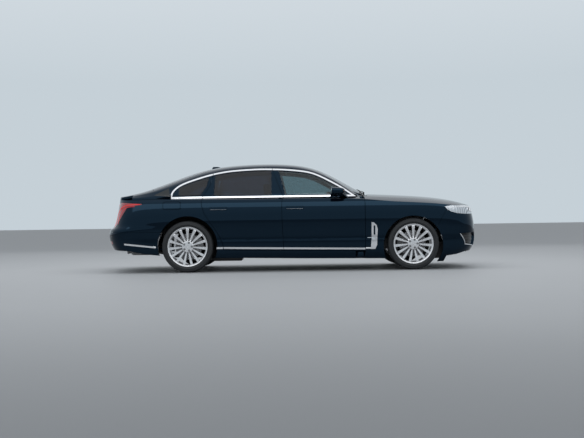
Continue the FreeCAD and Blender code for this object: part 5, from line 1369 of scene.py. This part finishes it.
def makeVent(number, y):
    x, z, half = dash["ventX"], dash["ventZ"], dash["ventHalf"]
    slat = block("slat", (x - 0.004, y, z - 0.024), (x + 0.02, y + dash["ventWide"], z - 0.0215))
    values = {"Count": dash["slats"], "Step": (0, 0, dash["slatStep"]), "Material": blackTrim}
    slats = grown(slat, rowCopies, values)
    slats.name = "ventSlats%d" % number
    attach(slats, "body")
    near, far = y - 0.003, y + dash["ventWide"] + 0.003
    corners = ((near, z - half), (far, z - half), (far, z + half), (near, z + half), (near, z - half))
    edge = [(x - 0.003, cornerY, cornerZ) for cornerY, cornerZ in corners]
    dress(tube("ventFrame%d" % number, edge, 0.003, 6), "body", chrome)


def makePedal(number, y, wide):
    (x0, x1), (z0, z1) = dash["pedalX"], dash["pedalZ"]
    plate = block("pedal%d" % number, (x0, y - wide / 2, z0), (x1, y + wide / 2, z1), 0.004)
    dress(plate, "body", steel)
    arm = [(x, y, z) for x, z in dash["pedalArm"]]
    dress(tube("pedalArm%d" % number, arm, 0.007), "body", steel)


dress(block("centreScreen", *dash["screen"], 0.002, 2), "body", screenGlass)
dress(block("clusterGlass", *dash["cluster"], 0.0015, 2), "body", screenGlass)
for number, y in enumerate(dash["dialY"]):
    makeDial(number, y)
for number, y in enumerate(dash["ventY"]):
    makeVent(number, y)
console = [
    ("consoleTop", (-0.1, -0.088, 0.552), (0.5, 0.088, 0.572), 0.004, 2, screenGlass, "soft_plastic"),
    ("consoleArmrest", (-0.25, -0.09, 0.535), (-0.02, 0.09, 0.585), 0.014, 3, leather, "leather"),
    ("gearSelector", (0.2, -0.022, 0.568), (0.262, 0.022, 0.625), 0.01, 3, chrome, "bright"),
]
for name, low, high, bevel, segments, material, slotName in console:
    dress(block(name, low, high, bevel, segments), "body", material)
for number, (y, wide) in enumerate(dash["pedals"]):
    makePedal(number, y, wide)
insideMirror = block("insideMirror", (0.395, -0.12, 1.27), (0.42, 0.12, 1.33), 0.01, 3)
dress(insideMirror, "body", blackTrim)
stalk = tube("insideMirrorStalk", dash["stalk"], dash["stalkRadius"])
dress(stalk, "body", blackTrim)
print("dashboard dressed")


# Floor, light and camera.
studio = {
    "wallColour": (0.56, 0.63, 0.68), "skyColour": (0.93, 0.96, 1.0), "skyFrom": 0.14, "skyTo": 0.6,
    "floorColour": (0.4, 0.42, 0.44),
    "keyPower": 200.0, "fillPower": 150.0, "topPower": 260.0, "worldLevel": 0.4,
}


def makeFloor():
    bpy.ops.mesh.primitive_plane_add(size=160.0, location=(0, 0, -0.001))
    floor = bpy.context.object
    floor.name = "floor"
    material, tree, shader = newMaterial("paleFloor")
    noise = tree.nodes.new("ShaderNodeTexNoise")
    noise.inputs["Scale"].default_value = 0.6
    tree.links.new(objectPlace(tree), noise.inputs["Vector"])
    mix = tree.nodes.new("ShaderNodeMix")
    mix.data_type = "RGBA"
    mix.inputs["A"].default_value = (*studio["floorColour"], 1)
    mix.inputs["B"].default_value = (*[c * 1.05 for c in studio["floorColour"]], 1)
    tree.links.new(noise.outputs["Fac"], mix.inputs["Factor"])
    tree.links.new(mix.outputs["Result"], shader.inputs["Base Color"])
    shader.inputs["Roughness"].default_value = 0.6
    floor.data.materials.append(material)


def makeLamp(name, place, aim, size, power, mirrored=True):
    data = bpy.data.lights.new(name, "AREA")
    data.shape = "RECTANGLE"
    data.size, data.size_y = size
    data.energy = power
    lamp = bpy.data.objects.new(name, data)
    bpy.context.scene.collection.objects.link(lamp)
    lamp.location = place
    lamp.visible_glossy = mirrored
    lamp.rotation_euler = (Vector(aim) - Vector(place)).to_track_quat("-Z", "Y").to_euler()


def makeWorld():
    world = bpy.data.worlds.new("studio")
    bpy.context.scene.world = world
    world.use_nodes = True
    tree = world.node_tree
    tree.nodes.clear()
    output = tree.nodes.new("ShaderNodeOutputWorld")
    plain = tree.nodes.new("ShaderNodeBackground")
    plain.inputs["Color"].default_value = (0.9, 0.93, 0.96, 1)
    plain.inputs["Strength"].default_value = studio["worldLevel"]
    shown = tree.nodes.new("ShaderNodeBackground")
    shown.inputs["Strength"].default_value = 1.0
    way = tree.nodes.new("ShaderNodeSeparateXYZ")
    tree.links.new(tree.nodes.new("ShaderNodeTexCoord").outputs["Generated"], way.inputs["Vector"])
    lift = tree.nodes.new("ShaderNodeMapRange")
    lift.inputs["From Min"].default_value = studio["skyFrom"]
    lift.inputs["From Max"].default_value = studio["skyTo"]
    tree.links.new(way.outputs["Z"], lift.inputs["Value"])
    sky = tree.nodes.new("ShaderNodeMix")
    sky.data_type = "RGBA"
    sky.inputs["A"].default_value = (*studio["wallColour"], 1)
    sky.inputs["B"].default_value = (*studio["skyColour"], 1)
    tree.links.new(lift.outputs["Result"], sky.inputs["Factor"])
    tree.links.new(sky.outputs["Result"], shown.inputs["Color"])
    path = tree.nodes.new("ShaderNodeLightPath")
    add = tree.nodes.new("ShaderNodeMath")
    add.operation = "MAXIMUM"
    tree.links.new(path.outputs["Is Camera Ray"], add.inputs[0])
    tree.links.new(path.outputs["Is Glossy Ray"], add.inputs[1])
    more = tree.nodes.new("ShaderNodeMath")
    more.operation = "MAXIMUM"
    tree.links.new(add.outputs[0], more.inputs[0])
    tree.links.new(path.outputs["Is Transmission Ray"], more.inputs[1])
    mix = tree.nodes.new("ShaderNodeMixShader")
    tree.links.new(more.outputs[0], mix.inputs["Fac"])
    tree.links.new(plain.outputs[0], mix.inputs[1])
    tree.links.new(shown.outputs[0], mix.inputs[2])
    tree.links.new(mix.outputs[0], output.inputs["Surface"])


makeFloor()
makeWorld()
makeLamp("topLight", (0.0, 0.0, 6.5), (0, 0, 0.5), (10.0, 3.0), studio["topPower"], False)
makeLamp("sideLight", (0.0, -8.0, 5.0), (0, 0, 0.6), (18.0, 3.0), studio["keyPower"])
makeLamp("backLight", (0.0, 8.0, 5.0), (0, 0, 0.6), (18.0, 3.0), studio["fillPower"], False)

photoCamera = {"lens": 59.55, "place": (0.0025, -14.0, 0.706), "roll": -0.81}
cameraData = bpy.data.cameras.new("camera")
cameraData.lens = photoCamera["lens"]
cameraData.sensor_width = 36.0
camera = bpy.data.objects.new("camera", cameraData)
bpy.context.scene.collection.objects.link(camera)
camera.location = photoCamera["place"]
camera.rotation_euler = (math.radians(90), 0, 0)
camera.rotation_euler.rotate_axis("Z", math.radians(photoCamera["roll"]))
bpy.context.scene.camera = camera
bpy.context.scene.view_settings.view_transform = "Standard"
print("stage set")
